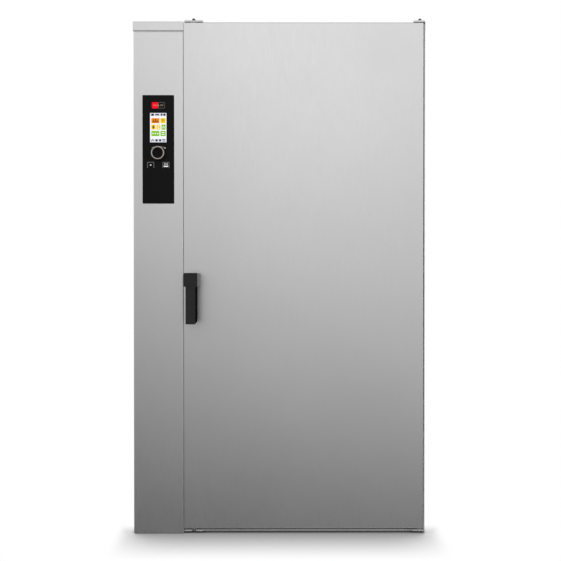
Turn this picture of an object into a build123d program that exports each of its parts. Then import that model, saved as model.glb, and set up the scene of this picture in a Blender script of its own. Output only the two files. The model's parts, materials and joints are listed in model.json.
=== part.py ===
from build123d import *
import math
import os

# Regeneration oven for a roll-in trolley: control column at the left, one full-height door at the right.
# Millimetres. +X to the right, +Y to the rear, +Z up; the origin is on the floor under the middle.
# A depth is measured back from the plane of the door's front face.

# Overall sizes
body_w = 1092.0  # across the two side panels
body_d = 1000.0  # door face to rear panel
body_h = 1920.0  # floor to roof
column_w = 187.0
handle_out = 95.0  # grip in front of the door face
rear_out = 50.0  # drain stub behind the rear panel
vent_up = 60.0  # vent stub above the roof

# Sheet metal
sheet = 1.5
liner = 2.0
bend = 3.0  # outside radius of a folded edge
roof_rim = 33.0
roof_bend = 2.5
rim_seam = 4.0  # between the rim and the column's front panel
column_return = 20.0
side_return = 12.0  # folded edges of the left side panel
fit_gap = 0.5  # between neighbouring folded panels

# Base
foot_h = 8.0  # floor to the base pan's flange
base_h = 22.0
sill_depth = 20.0  # front edge of the threshold strip
sill_lift = 2.0
sill_under = 30.0  # back under the front frame
sill_bend = 2.0
foot_pad_r = 25.0
foot_pad_t = 4.0
foot_pad_sides = 12
foot_inset = 60.0
foot_stem = 19.0  # across flats

# Door
door_t = 60.0
door_gap = 3.0  # beside the column
hinge_gap = 4.0  # beside the right side panel
door_low = 19.0
door_top_drop = 3.0
seal_gap = 12.0  # door back to front frame
seal_w = 14.0
seal_margin = 3.0
seal_air = 0.3
channel_play = 0.5  # round the latch and the bushes in the insulation
pocket_over = 12.0  # insulation kept clear beyond a pivot pin
field_recess = 5.0  # pressed field of the door's inner panel
field_inset = 9.0
field_r = 30.0
switch_in = 9.0
switch_w = 14.0
switch_t = 9.0
switch_h = 60.0

# Corner plates, pivot pins and latch rods
plate_t = 6.0
plate_front = 3.0
plate_corner = 3.0
hinge_plate_w = 44.0
keeper_w = 71.0
plate_on_roof = 50.0
pin_r = 6.0
pin_depth = 12.0
pin_in = 12.5  # pin axis from the door's right edge
pin_reach = 28.0
cap_h = 8.5
tip_bevel = 2.5
bush_half = 9.5  # half the side of a square bush
bush_out = 1.0  # beyond the door's edge
bush_fit = 0.05
pin_fit = 0.05
door_seat = 0.3  # low pivot bush over its plate
keeper_play = 1.6
latch_in = 35.0  # latch line from the door's left edge
guide_len = 24.0

# Latch gear
gear_module = 2.0
gear_teeth = 16
gear_addendum = 1.7
gear_dedendum = 2.4
gear_backlash = 0.35
gear_t = 10.0
rack_back = 6.6
handle_z = 955.0
hub_r = 10.0
spindle = 8.0
case_half_w = 32.0
case_half_h = 65.0
case_depth = 27.0
case_guide_half = 16.0
case_guide_near = 6.0
case_guide_far = 18.0
case_guide_play = 0.3
rod_play = 0.5
pressure_angle = 20.0
rack_run = 12.0  # teeth beyond the pinion's middle
rack_end = 3.0
rod_foot = 12.0
tip_rest = 0.5  # above the threshold's lower edge

# Handle
boss = 50.0
rosette = 46.0  # side of the square plate behind the boss
rosette_t = 6.0
grip_plate = 7.0
grip_w = 36.0
grip_low = 794.0
grip_back = 30.0  # finger gap behind the grip
boss_corner = 4.0
boss_air = 0.3
socket_play = 0.05
grip_corner = 5.0
grip_bevel = 2.0
neck_in = 2.0
neck_down = 8.0
spindle_reach = 50.0  # in front of the rosette

# Cooking chamber
left_insulation = 48.0
right_insulation = 58.0
rear_insulation = 58.0
top_insulation = 66.5
wool_play = 0.2
floor_z = 50.0
cove_r = 16.0

# Fans and heaters
fan_count = 2
fan_r = 150.0
heater_air = 22.0  # between a wheel and its heater ring
fan_bore_r = 105.0
fan_len = 64.0
fan_wall_gap = 12.0
blade_count = 14
blade_t = 1.5
blade_lean = 16.0  # degrees
blade_inset = 3.0  # inside both edges of the wheel's front ring
back_plate_t = 2.0
front_ring_t = 1.5
seal_plate_t = 3.0
seal_plate_edge = 10.0  # beyond the shaft's hole
shaft_r = 8.0
motor_r = 60.0
motor_len = 120.0
motor_sides = 8
motor_flange = 6.0
terminal_box = 60.0
terminal_box_half = 26.0
terminal_box_up = 82.0  # above the motor's axis
hub_across = 40.0
hub_len = 24.0
fan_nut = 24.0  # across flats
fan_nut_t = 7.0
shaft_reach = 70.0  # shaft inside the motor
shaft_hole = 50.0
heater_wire = 8.0
heater_sides = 20
heater_plate = 3.0
heater_plate_edge = 8.0
passage_w = 3.0  # wall opening beyond the heater's ends
passage_h = 5.0
heater_post_out = 12.0  # into the column
strap_t = 3.0
strap_w = 14.0
strap_turns = (60, 180, 300)
heater_lift = 30.0  # off the wall
terminal_pitch = 30.0
terminal_w = 6.0

# Fan baffle
baffle_out = 105.0
baffle_w = 648.0
baffle_margin = 50.0  # below and above the baffle
baffle_return = 25.0
front_fold = 12.0  # the baffle's return at the front
slot_w = 14.0
slot_pitch = 28.0
intake_r = 112.0
pivot_r = 4.0
baffle_lift = 4.0  # room to lift it off its pins
baffle_play = 0.3
arm_t = 4.0
arm_half = 10.0
rest_half = 6.0
rest_plate_half = 14.0
rest_plate_t = 3.0
pin_hold = 12.0  # pivot pin inside the baffle

# Trolley guides
guide_h = 40.0
guide_t = 3.0
guide_span = 560.0
guide_flare = 22.0
guide_mouth = 60.0  # length of the flared part
guide_lip = 22.0
guide_end = 40.0  # from the front frame and from the rear wall
stop_t = 12.0
stop_h = 20.0
stop_up = 12.0
stop_foot_half = 8.0
stop_foot_in = 30.0

# Control panel
glass_w = 118.0
glass_h = 405.0
glass_t = 4.0
glass_proud = 1.0
glass_drop = 275.0  # below the roof
glass_play = 0.4
glass_corner = 3.0
carrier_edge = 7.0  # round the glass
carrier_t = 4.0
window_play = 2.0
encoder_half = 7.0
encoder_play = 3.0
module_edge = 1.5  # round the lit screen
module_t = 7.0
tail_half = 12.0
tail_h = 20.0
tail_up = 10.0
screen_w = 63.0
screen_h = 111.0
screen_drop = 66.0  # screen's top edge below the glass's top edge
knob_r = 25.0
knob_core_r = 19.5
knob_len = 16.0
knob_recess = 1.5
knob_sides = 36
knob_lift = 1.0
knob_drop = 218.0  # knob centre below the glass's top edge
stem_r = 3.0
push_travel = 0.5
stem_hold = 4.0  # knob in front of the stem's tip
stem_end = 9.5  # glass's back to the stem's end, pressed in
stem_air = 0.3
ring_back = 2.0  # the ring ends before the knob's body

# Circuit boards, tray and rail devices
board_t = 1.6
board_back = 10.0  # glass's back to the control board
board_edge = 4.0
board_end = 8.0
post_half = 3.0
post_in = 6.0
post_up = 16.0
chip_rows = 4
chip_up = 40.0
chip_pitch = 32.0
chip_x = -30.0  # from the column's middle
chip = 18.0
chip_t = 3.4
plug_x = 8.0
plug_w = 36.0
plug_h = 12.0
plug_t = 10.4
tray_d0 = 70.0
tray_d1 = 350.0
tray_low = 300.0  # above the chamber's floor
tray_high = 1150.0
part_stand = 8.0  # tray to a board or a device
power_edge = 25.0  # board's edge from the tray's edge
power_low = 720.0
power_h = 390.0
power_post_in = 10.0
relays = 5
relay_in = 20.0
relay_pitch = 40.0
relay_w = 26.0
relay_h = 20.0
relay_up = 30.0
relay_t = 18.0  # board's back to the relay's front
transformer_w = 60.0
transformer_h = 70.0
transformer_in = 35.0
transformer_up = 270.0
transformer_t = 46.0
capacitor = 32.0
capacitor_in = 134.0
capacitor_up = 284.0
capacitor_t = 42.0
rail_edge = 10.0
rail_low = 420.0
rail_h = 35.0
contactors = 3
contactor_in = 20.0
contactor_pitch = 50.0
contactor_w = 45.0
contactor_t = 70.0
contactor_low = 22.0  # below the rail's lower edge
contactor_high = 58.0
head_t = 12.0
head_in = 6.0
head_step = 12.0
terminals_in = 180.0
terminals_w = 80.0
terminals_t = 42.0
terminals_low = 8.0
terminals_high = 44.0
terminal_slots = 5
terminal_slot = 8.0
terminal_slot_pitch = 15.0
terminal_slot_depth = 10.0
terminal_slot_h = 18.0

# Water, drain, vent, mains
vent_r = 30.0
vent_collar = 42.0  # half its side
collar_t = 2.0
flap_play = 0.8
axle_r = 3.0
flap_t = 2.0
actuator_t = 34.0
actuator_half = 30.0
actuator_half_h = 26.0
axle_from = 22.0  # axle's end from the side panel
axle_past = 5.0
pipe_wall = 1.5
drain_r = 20.0
drain_duct = 15.0  # half its side
drain_sides = 16
drain_collar = 8.0  # round the stub
drain_collar_t = 2.0
inlet_r = 13.2
inlet_len = 18.0
neck = 22.0  # the inlet's neck through the cover, across flats
neck_nut = 30.0
neck_nut_t = 10.0
inlet_bore_r = 9.0
valve_half = 15.0
valve_len = 48.0
valve_half_h = 18.0
coil_half = 14.0
coil_up = 56.0  # above the inlet's axis
coil_in = 8.0
gland_across = 36.0
gland_neck = 28.0
gland_bore_r = 9.0
gland_inside = 16.0
gland_outside = 26.0
gland_nut_t = 7.0
air_slots = 5
air_slot_pitch = 20.0
air_slot_half_w = 52.0
air_slot_h = 6.0
fitting = 14.0
valve_out = 104.0  # rear panel to the valve body's front
tube_r = 4.0
tube_sides = 8
nozzle = 12.0  # across flats
nozzle_low = 16.0  # above the fan's axis
nozzle_high = 26.0
probe_r = 3.0
probe_out = 60.0  # into the chamber
probe_head = 20.0  # across flats
probe_head_len = 12.0
hole_play = 0.4  # round a pipe, stub or rod in sheet metal
lamp_w = 60.0
lamp_h = 120.0
lamp_depth = 42.0
lamp_frame = 12.0
lamp_wall = 2.0
lamp_proud = 3.0
lamp_play = 0.3
strip_half = 6.0  # half the width of the light strip

# Cooling fan of the electronics
cooler_half = 60.0
cooler_depth = 38.0
cooler_r = 56.0
cooler_sides = 24
cooler_hub_r = 20.0
cooler_axle_r = 2.0
cooler_blades = 7
cooler_chord = 20.0
blade_pitch = 34.0
cup_half = 18.0
cup_depth = 8.0
strut = 4.0
cooler_blade_t = 2.0
cooler_tip_play = 2.0
rotor_front = 2.0  # behind the cup
rotor_back = 4.0  # inside the frame's rear face

# Places worked out from the sizes above
half_w = body_w / 2
front_y = -(handle_out + body_d + rear_out) / 2 + handle_out
panel_x = half_w - sheet
column_x = -half_w + column_w
column_mid = -half_w + column_w / 2
door_x0 = column_x + door_gap
door_x1 = panel_x - hinge_gap
door_z1 = body_h - door_top_drop
frame_d = door_t + seal_gap
back_d = body_d - sheet
rim_z = body_h - roof_rim
under_roof = body_h - sheet
pan_top = foot_h + base_h
latch_x = door_x0 + latch_in
hinge_x = door_x1 - pin_in
pitch_r = gear_module * gear_teeth / 2
latch_travel = pitch_r * math.pi / 2
room_x0 = column_x + left_insulation + liner
room_x1 = panel_x - right_insulation - liner
room_z1 = under_roof - top_insulation - liner
room_d0 = frame_d + sheet
room_d1 = back_d - rear_insulation - liner
room_mid = (room_d0 + room_d1) / 2
room_h = room_z1 - floor_z
fan_levels = [floor_z + room_h * (i + 0.5) / fan_count for i in range(fan_count)]
fan_x0 = room_x0 + fan_wall_gap
fan_x1 = fan_x0 + fan_len
baffle_x = room_x0 + baffle_out
baffle_d0 = room_mid - baffle_w / 2
baffle_d1 = room_mid + baffle_w / 2
baffle_z0 = floor_z + baffle_margin
baffle_z1 = room_z1 - baffle_margin
pivot_x = baffle_x - 12.0
pivot_d = baffle_d1 - 10.0
glass_z1 = body_h - glass_drop
glass_z0 = glass_z1 - glass_h
glass_back = glass_t - glass_proud
knob_z = glass_z1 - knob_drop
screen_z1 = glass_z1 - screen_drop
tray_x = column_x - sheet - 15.0
lamp_levels = [floor_z + room_h / 3, floor_z + room_h * 2 / 3]
lamp_d = room_d0 + 120.0
drain_x = (room_x0 + room_x1) / 2
drain_z = floor_z + drain_r + 10.0
vent_d = room_mid + 220.0
vent_z = room_z1 - 60.0
cooler_z = rim_z - 180.0
water_z = floor_z + 250.0
gland_z = floor_z + 90.0
inlet_slots_z = floor_z + 550.0
heater_r = fan_r + heater_air
spray_rise = heater_r + 25.0  # spray branch above each fan's axis
riser_x = -panel_x + 32.0
spray_x = (fan_x1 + baffle_x) / 2
probe_d = baffle_d0 + 60.0
probe_z = floor_z + room_h / 2
flap_z = rim_z - 40.0
switch_z = body_h * 0.8


def block(x0, x1, d0, d1, z0, z1):
    """A box between two planes each way, with its front and back given as depths."""
    place = Pos((x0 + x1) / 2, front_y + (d0 + d1) / 2, (z0 + z1) / 2)
    return place * Box(x1 - x0, d1 - d0, z1 - z0)


def round_x(d, z, x0, x1, r):
    return Pos((x0 + x1) / 2, front_y + d, z) * Rot(0, 90, 0) * Cylinder(r, x1 - x0)


def round_y(x, z, d0, d1, r):
    return Pos(x, front_y + (d0 + d1) / 2, z) * Rot(90, 0, 0) * Cylinder(r, d1 - d0)


def round_z(x, d, z0, z1, r):
    return Pos(x, front_y + d, (z0 + z1) / 2) * Cylinder(r, z1 - z0)


def prism_x(d, z, x0, x1, r, sides):
    """A prism along X whose flat sides touch a circle of radius r."""
    outline = RegularPolygon(r, sides, major_radius=False)
    return Pos(x0, front_y + d, z) * Rot(0, 90, 0) * extrude(outline, x1 - x0)


def prism_y(x, z, d0, d1, r, sides):
    outline = RegularPolygon(r, sides, major_radius=False)
    return Pos(x, front_y + d1, z) * Rot(90, 0, 0) * extrude(outline, d1 - d0)


def prism_z(x, d, z0, z1, r, sides):
    outline = RegularPolygon(r, sides, major_radius=False)
    return Pos(x, front_y + d, z0) * extrude(outline, z1 - z0)


def rounded_y(x0, x1, d0, d1, z0, z1, r):
    """A block whose four edges along the depth are rounded."""
    outline = RectangleRounded(x1 - x0, z1 - z0, r)
    return Pos((x0 + x1) / 2, front_y + d1, (z0 + z1) / 2) * Rot(90, 0, 0) * extrude(outline, d1 - d0)


def joined(pieces):
    whole = pieces[0]
    for piece in pieces[1:]:
        whole = whole + piece
    return whole


def edges_at(shape, axis, place, along):
    """Edges parallel to one axis that lie in the plane at a place on another."""
    found = shape.edges().filter_by(along).filter_by_position(axis, place - 0.01, place + 0.01)
    return found


def front_pan(x0, x1, z0, z1, depth):
    """A sheet folded back on all four sides, open at the rear, with its face at depth zero."""
    outer = block(x0, x1, 0, depth, z0, z1)
    face = edges_at(outer, Axis.Y, front_y, Axis.X) + edges_at(outer, Axis.Y, front_y, Axis.Z)
    outer = fillet(face, bend)
    inner = block(x0 + sheet, x1 - sheet, sheet, depth + 1, z0 + sheet, z1 - sheet)
    face_y = front_y + sheet
    face = edges_at(inner, Axis.Y, face_y, Axis.X) + edges_at(inner, Axis.Y, face_y, Axis.Z)
    return outer - fillet(face, bend - sheet)


def base_pan():
    """A shallow tray upside down under the column and the chamber."""
    column = block(-panel_x, column_x, column_return + sheet, back_d, foot_h, pan_top)
    room = block(column_x, panel_x, frame_d, back_d, foot_h, pan_top)
    low, high = foot_h - 1, pan_top - liner
    near = column_return + sheet + liner
    column_space = block(-panel_x + liner, column_x - liner, near, back_d - liner, low, high)
    room_space = block(column_x, panel_x - liner, frame_d + liner, back_d - liner, low, high)
    return column + room - column_space - room_space


def levelling_feet():
    """Four feet with many-sided pads on hexagonal stems."""
    feet = []
    for x in (-half_w + foot_inset, half_w - foot_inset):
        for d in (frame_d + foot_inset, body_d - foot_inset):
            pad = prism_z(x, d, 0, foot_pad_t, foot_pad_r, foot_pad_sides)
            feet.append(pad + prism_z(x, d, foot_pad_t, pan_top - liner, foot_stem / 2, 6))
    return joined(feet)


def threshold_strip():
    """The low strip under the door, folded down at its front."""
    far = frame_d + sill_under
    whole = block(column_x, panel_x, sill_depth, far, sill_lift, foot_h)
    edge = edges_at(whole, Axis.Z, foot_h, Axis.X).sort_by(Axis.Y)[:1]
    whole = fillet(edge, sill_bend)
    near, top = sill_depth + sheet, foot_h - sheet
    return whole - block(column_x - 1, panel_x + 1, near, far + 1, sill_lift - 1, top)


def front_frame():
    """Two stiles and two rails round the chamber's mouth; the gasket sits on them."""
    near, far = frame_d, frame_d + sheet
    top = rim_z - fit_gap
    left = block(column_x, room_x0, near, far, pan_top, top)
    right = block(room_x1, panel_x, near, far, pan_top, top)
    low = block(room_x0, room_x1, near, far, pan_top, floor_z)
    high = block(room_x0, room_x1, near, far, room_z1, top)
    return Compound(children=[left, right, low, high])


def gasket_profile(half):
    """The gasket's profile, from its inner edge outwards, on a length of 2 half before mitring."""
    nose = seal_w / 4
    near, far = door_t + seal_air, frame_d
    points = [
        (0, far), (0, near + nose), (nose, near),
        (seal_w - nose, near), (seal_w, near + nose), (seal_w, far),
    ]
    outline = make_face(Polyline([(x, front_y + d) for x, d in points], close=True))
    return Pos(0, 0, -half) * extrude(outline, 2 * half)


def gasket_length(half):
    """One length of the profile along Z, both ends mitred at 45 degrees."""
    bar = gasket_profile(half + seal_w)
    depth = frame_d - door_t
    for end in (-1, 1):
        corner = make_face(Polyline([
            (-1, end * (half - 1)), (seal_w + 1, end * (half + seal_w + 1)), (-1, end * (half + seal_w + 1)),
        ], close=True))
        cut = Pos(0, front_y + frame_d + 1, 0) * Rot(90, 0, 0) * extrude(corner, depth + 2)
        bar = bar - cut
    return bar


def door_gasket():
    """A silicone profile in four lengths, mitred at the corners of the mouth."""
    x0, x1 = room_x0 - seal_margin, room_x1 + seal_margin
    z0, z1 = floor_z - seal_margin, room_z1 + seal_margin
    mid_x, mid_z = (x0 + x1) / 2, (z0 + z1) / 2
    across, upright = gasket_length((x1 - x0) / 2), gasket_length((z1 - z0) / 2)
    right = Pos(x1, 0, mid_z) * upright
    left = Pos(x0, 0, mid_z) * mirror(upright, Plane.YZ)
    top = Pos(mid_x, 0, z1) * Rot(0, -90, 0) * across
    low = Pos(mid_x, 0, z0) * Rot(0, 90, 0) * across
    return Compound(children=[right, left, top, low])


def square_hole(d, z, x0, x1, half):
    return block(x0, x1, d - half, d + half, z - half, z + half)


def square_pipe(x, z, d0, d1, half):
    return block(x - half, x + half, d0, d1, z - half, z + half)


def wall_passages(x0, x1):
    """Cutters through the walls left of the chamber: shafts, heater ends, spray pipes, probe and vent."""
    cutters = []
    for z in fan_levels:
        cutters.append(square_hole(room_mid, z, x0, x1, shaft_hole / 2))
        cutters.append(square_hole(room_mid, z + spray_rise, x0, x1, tube_r + hole_play))
        low = z - heater_r
        w, h = terminal_pitch / 2 + terminal_w + passage_w, terminal_w + passage_h
        cutters.append(block(x0, x1, room_mid - w, room_mid + w, low - h, low + h))
    cutters.append(square_hole(probe_d, probe_z, x0, x1, probe_r + hole_play))
    cutters.append(square_hole(vent_d, vent_z, x0, x1, vent_r + hole_play))
    return joined(cutters)


def cove(x, z, turn):
    """One coved corner strip; its arc is centred on x and z."""
    strip = Circle(cove_r + liner) - Circle(cove_r)
    strip = strip & Pos(cove_r, cove_r) * Rectangle(2 * cove_r, 2 * cove_r)
    length = room_d1 - room_d0
    return Pos(x, front_y + room_d1, z) * Rot(90, 0, 0) * Rot(0, 0, turn) * extrude(strip, length)


def chamber_liner():
    """Left wall, right wall, ceiling, floor, rear wall, and the coved strips that join the first four."""
    x0, x1, z0, z1 = room_x0, room_x1, floor_z, room_z1
    d0, d1 = room_d0, room_d1
    flat_x0, flat_x1, flat_z0, flat_z1 = x0 + cove_r, x1 - cove_r, z0 + cove_r, z1 - cove_r
    left = block(x0 - liner, x0, d0, d1, flat_z0, flat_z1) - wall_passages(x0 - 5, x0 + 5)
    right = block(x1, x1 + liner, d0, d1, flat_z0, flat_z1)
    for z in lamp_levels:
        right = right - lamp_box(x1 - 5, x1 + 5, z, hole_play)
    ceiling = block(flat_x0, flat_x1, d0, d1, z1, z1 + liner)
    floor = block(flat_x0, flat_x1, d0, d1, z0 - liner, z0)
    rear = block(x0 - liner, x1 + liner, d1, d1 + liner, z0 - liner, z1 + liner)
    rear = rear - square_pipe(drain_x, drain_z, d1 - 1, d1 + liner + 1, drain_duct - pipe_wall)
    coves = [
        cove(flat_x1, flat_z1, 0), cove(flat_x0, flat_z1, 90),
        cove(flat_x0, flat_z0, 180), cove(flat_x1, flat_z0, 270),
    ]
    return Compound(children=[left, right, ceiling, floor, rear] + coves)


def chamber_insulation():
    """Mineral wool between the chamber and the outer panels."""
    slab = block(column_x, panel_x, room_d0, back_d, pan_top, under_roof)
    out = liner + wool_play
    space = block(room_x0 - out, room_x1 + out, room_d0 - 1, room_d1 + out, floor_z - out, room_z1 + out)
    slab = slab - space - wall_passages(column_x - 1, room_x0)
    for z in lamp_levels:
        slab = slab - lamp_box(room_x1, room_x1 + lamp_depth + 2, z, 1)
    return slab - square_pipe(drain_x, drain_z, room_d1, back_d + 1, drain_duct + hole_play)


def partition_wall():
    """The wall between the column and the chamber's insulation."""
    wall = block(column_x - sheet, column_x, column_return + fit_gap, back_d, pan_top, rim_z - fit_gap)
    return wall - wall_passages(column_x - 5, column_x + 5)


def left_side_panel():
    """Folded sheet behind the column's front panel, with stiffening returns."""
    d0 = column_return + fit_gap + sheet
    outer = block(-half_w, -half_w + side_return, d0, back_d, sill_lift, under_roof)
    inner = block(-panel_x, half_w, d0 + sheet, back_d - sheet, sill_lift - 1, under_roof + 1)
    foot_cut = block(-panel_x - 0.01, half_w, d0 - 1, back_d + 1, 0, pan_top + fit_gap)
    return outer - inner - foot_cut


def right_side_panel():
    """Plain sheet that runs forward beside the door; its bare edge shows from the front."""
    return block(panel_x, half_w, 0, back_d, sill_lift, under_roof)


def rear_panel():
    """The back of the chamber part, with the drain's hole."""
    panel = block(column_x, half_w, back_d, body_d, foot_h, rim_z - fit_gap)
    return panel - square_pipe(drain_x, drain_z, back_d - 1, body_d + 1, drain_duct + hole_play)


def service_cover():
    """The back of the column: air slots, and holes for water, mains and cooling air."""
    cover = block(-half_w, column_x - fit_gap, back_d, body_d, foot_h, rim_z - fit_gap)
    slots = []
    half = (air_slots - 1) / 2
    x0, x1 = column_mid - air_slot_half_w, column_mid + air_slot_half_w
    for level in (cooler_z, inlet_slots_z):
        for i in range(air_slots):
            z = level + (i - half) * air_slot_pitch
            slots.append(block(x0, x1, back_d - 1, body_d + 1, z - air_slot_h / 2, z + air_slot_h / 2))
    cover = cover - joined(slots)
    cover = cover - prism_y(riser_x, water_z, back_d - 1, body_d + 1, neck / 2 + hole_play, 6)
    return cover - prism_y(column_mid, gland_z, back_d - 1, body_d + 1, gland_neck / 2 + hole_play, 6)


def roof_outline(inset, right_edge):
    """The roof's plan: it stands back over the door and sends a narrow strip forward at the right."""
    edge = half_w + sheet - inset
    near = inset if inset else 0
    step_x = column_x - inset
    step_d = frame_d + inset
    far = body_d + sheet - inset
    front = -1 if inset else 0
    points = [
        (-edge, near), (step_x, near), (step_x, step_d), (right_edge, step_d),
        (right_edge, front), (edge, front), (edge, far), (-edge, far),
    ]
    return make_face(Polyline([(x, front_y + d) for x, d in points], close=True))


def roof_panel():
    """A lid with a folded rim: its front rim is the cap strip over the column."""
    strip = hinge_gap / 2
    lid = Pos(0, 0, rim_z) * extrude(roof_outline(0, panel_x - strip + 0.5), roof_rim)
    edges = lid.faces().sort_by(Axis.Z)[-1].edges()
    crown = edges.filter_by(lambda e: e.length > 2 * frame_d)
    crown = crown + edges.filter_by_position(Axis.Y, front_y - 0.1, front_y + 0.1)
    over_door = front_y + frame_d
    crown = [e for e in crown if e.length > 2 * hinge_gap and abs(e.center().Y - over_door) >= 0.1]
    lid = fillet(crown, roof_bend)
    space = Pos(0, 0, rim_z - 1) * extrude(roof_outline(sheet, panel_x - strip - 1), roof_rim - sheet + 1)
    lid = lid - space
    return lid - riser_box(rim_z, body_h + 1, hole_play)


def column_front_panel():
    """Folded front of the column with the cut-out for the control glass."""
    pan = front_pan(-half_w, column_x, sill_lift, rim_z - rim_seam, column_return)
    w, h = glass_w / 2 + glass_play, glass_play
    hole = rounded_y(column_mid - w, column_mid + w, -1, 5, glass_z0 - h, glass_z1 + h, glass_corner)
    return pan - hole


def trolley_guides():
    """Two upright guides with flared mouths and a stop bar at the rear."""
    mid = (baffle_x + room_x1) / 2
    d0, d1 = room_d0 + guide_end, room_d1 - guide_end
    straight = d0 + guide_mouth
    rails = []
    for side in (-1, 1):
        x = mid + side * guide_span / 2
        line = [(x + side * guide_flare, d0), (x, straight), (x, d1)]
        back = [(px + side * guide_t, d) for px, d in reversed(line)]
        points = [(px, front_y + d) for px, d in line + back]
        wall = Pos(0, 0, floor_z) * extrude(make_face(Polyline(points, close=True)), guide_h)
        ends = sorted((x, x + side * guide_lip))
        rails.append(wall + block(*ends, straight, d1, floor_z, floor_z + guide_t))
    low, near = floor_z + stop_up, d1 - stop_t
    reach = guide_span / 2 - 1
    stop = block(mid - reach, mid + reach, near, d1, low, low + stop_h)
    for side in (-1, 1):
        x = mid + side * (guide_span / 2 - stop_foot_in)
        stop = stop + block(x - stop_foot_half, x + stop_foot_half, near, d1, floor_z, low + 1)
    return Compound(children=rails + [stop])


def fan_motors():
    """Flange-mounted motors in the column, with their terminal boxes."""
    motors = []
    x1 = column_x - sheet
    for z in fan_levels:
        motor = square_hole(room_mid, z, x1 - motor_flange, x1, motor_r + 2)
        motor = motor + prism_x(room_mid, z, x1 - motor_len, x1 - motor_flange, motor_r, motor_sides)
        box_x1 = x1 - motor_len / 4
        motor = motor + block(
            box_x1 - terminal_box, box_x1, room_mid - terminal_box_half, room_mid + terminal_box_half,
            z, z + terminal_box_up,
        )
        motors.append(motor - round_x(room_mid, z, x1 - shaft_reach - 5, x1 + 1, shaft_r + pin_fit))
    return Compound(children=motors)


def shaft_seals():
    """Square seal plates where the shafts enter the chamber."""
    far = room_x0 + seal_plate_t
    seals = []
    for z in fan_levels:
        plate = square_hole(room_mid, z, room_x0, far, shaft_hole / 2 + seal_plate_edge)
        seals.append(plate - round_x(room_mid, z, room_x0 - 1, far + 1, shaft_r + pin_fit))
    return Compound(children=seals)


def blade_plan():
    """Plan of one backward-curved blade as a bent strip, near the +Y axis."""
    inner, outer = fan_bore_r + blade_inset, fan_r - blade_inset
    lean = math.radians(blade_lean)
    mid_r = (inner + outer) / 2
    line = [(0.0, inner), (mid_r * math.sin(lean * 0.35), mid_r * math.cos(lean * 0.35))]
    line.append((outer * math.sin(lean), outer * math.cos(lean)))
    back = [(x + blade_t, r) for x, r in reversed(line)]
    return make_face(Polyline(line + back, close=True))


def fan_wheel(z):
    """Centrifugal wheel: back plate, bent blades, front ring, hub, shaft and nut."""
    depth = fan_len - 3
    low = (Align.CENTER, Align.CENTER, Align.MIN)
    blade = Pos(0, 0, back_plate_t / 2) * extrude(blade_plan(), depth)
    plate = extrude(RegularPolygon(fan_r, blade_count), back_plate_t)
    ring = RegularPolygon(fan_r, blade_count) - RegularPolygon(fan_bore_r, blade_count)
    back = fan_x0 - (column_x - sheet - shaft_reach)
    wheel = joined([plate] + [Rot(0, 0, 360 * i / blade_count) * blade for i in range(blade_count)])
    wheel = wheel + Pos(0, 0, depth + 0.5) * extrude(ring, front_ring_t)
    wheel = wheel + Pos(0, 0, -back) * Cylinder(shaft_r, back + 1, align=low)
    hub = RegularPolygon(hub_across / 2, 6, major_radius=False)
    nut = RegularPolygon(fan_nut / 2, 6, major_radius=False)
    wheel = wheel + extrude(hub, hub_len) + Pos(0, 0, hub_len) * extrude(nut, fan_nut_t)
    return Pos(fan_x0, front_y + room_mid, z) * Rot(0, 90, 0) * wheel


def ring_heaters():
    """One ring element round each wheel, on three straps, with its ends through the wall."""
    heaters = []
    half = heater_wire / 2
    low = (Align.CENTER, Align.CENTER, Align.MIN)
    rise = heater_lift + heater_wire
    lead_y = terminal_pitch / 2
    h = terminal_w / 2
    plate_half = lead_y + terminal_w + heater_plate_edge
    for z in fan_levels:
        place = Pos(room_x0, front_y + room_mid, z) * Rot(0, 90, 0)
        ring = RegularPolygon(heater_r + half, heater_sides) - RegularPolygon(heater_r - half, heater_sides)
        gap = Pos(heater_r, 0, half) * Box(4 * heater_wire, 2 * lead_y - terminal_w, 2 * heater_wire)
        pieces = [place * Pos(0, 0, heater_lift) * (extrude(ring, heater_wire) - gap)]
        lead_x = math.sqrt(heater_r**2 - lead_y**2)
        for side in (-1, 1):
            lead = Box(terminal_w, terminal_w, rise, align=low)
            pieces.append(place * Pos(lead_x, side * lead_y, 0) * lead)
            at = room_mid + side * lead_y
            end_x = column_x - sheet - heater_post_out
            pieces.append(block(end_x, room_x0 + 1, at - h, at + h, z - lead_x - h, z - lead_x + h))
        for turn in strap_turns:
            strap = Pos(heater_r + half, 0, 0) * Box(strap_t, strap_w, rise, align=low)
            pieces.append(place * Rot(0, 0, turn) * strap)
        pieces.append(block(
            room_x0, room_x0 + heater_plate, room_mid - plate_half, room_mid + plate_half,
            z - heater_r - 2 * heater_wire, z - heater_r + 2 * heater_wire,
        ))
        heaters.append(joined(pieces))
    return Compound(children=heaters)


def intake_slots(z):
    """Upright slots whose lengths fill a circle in front of one wheel."""
    slots = []
    count = int((intake_r - slot_pitch) / slot_pitch)
    x0, x1 = baffle_x - 1, baffle_x + sheet + 1
    for i in range(-count, count + 1):
        d = room_mid + i * slot_pitch
        half = math.sqrt(intake_r**2 - (i * slot_pitch) ** 2)
        slots.append(block(x0, x1, d - slot_w / 2, d + slot_w / 2, z - half, z + half))
    return joined(slots)


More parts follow.
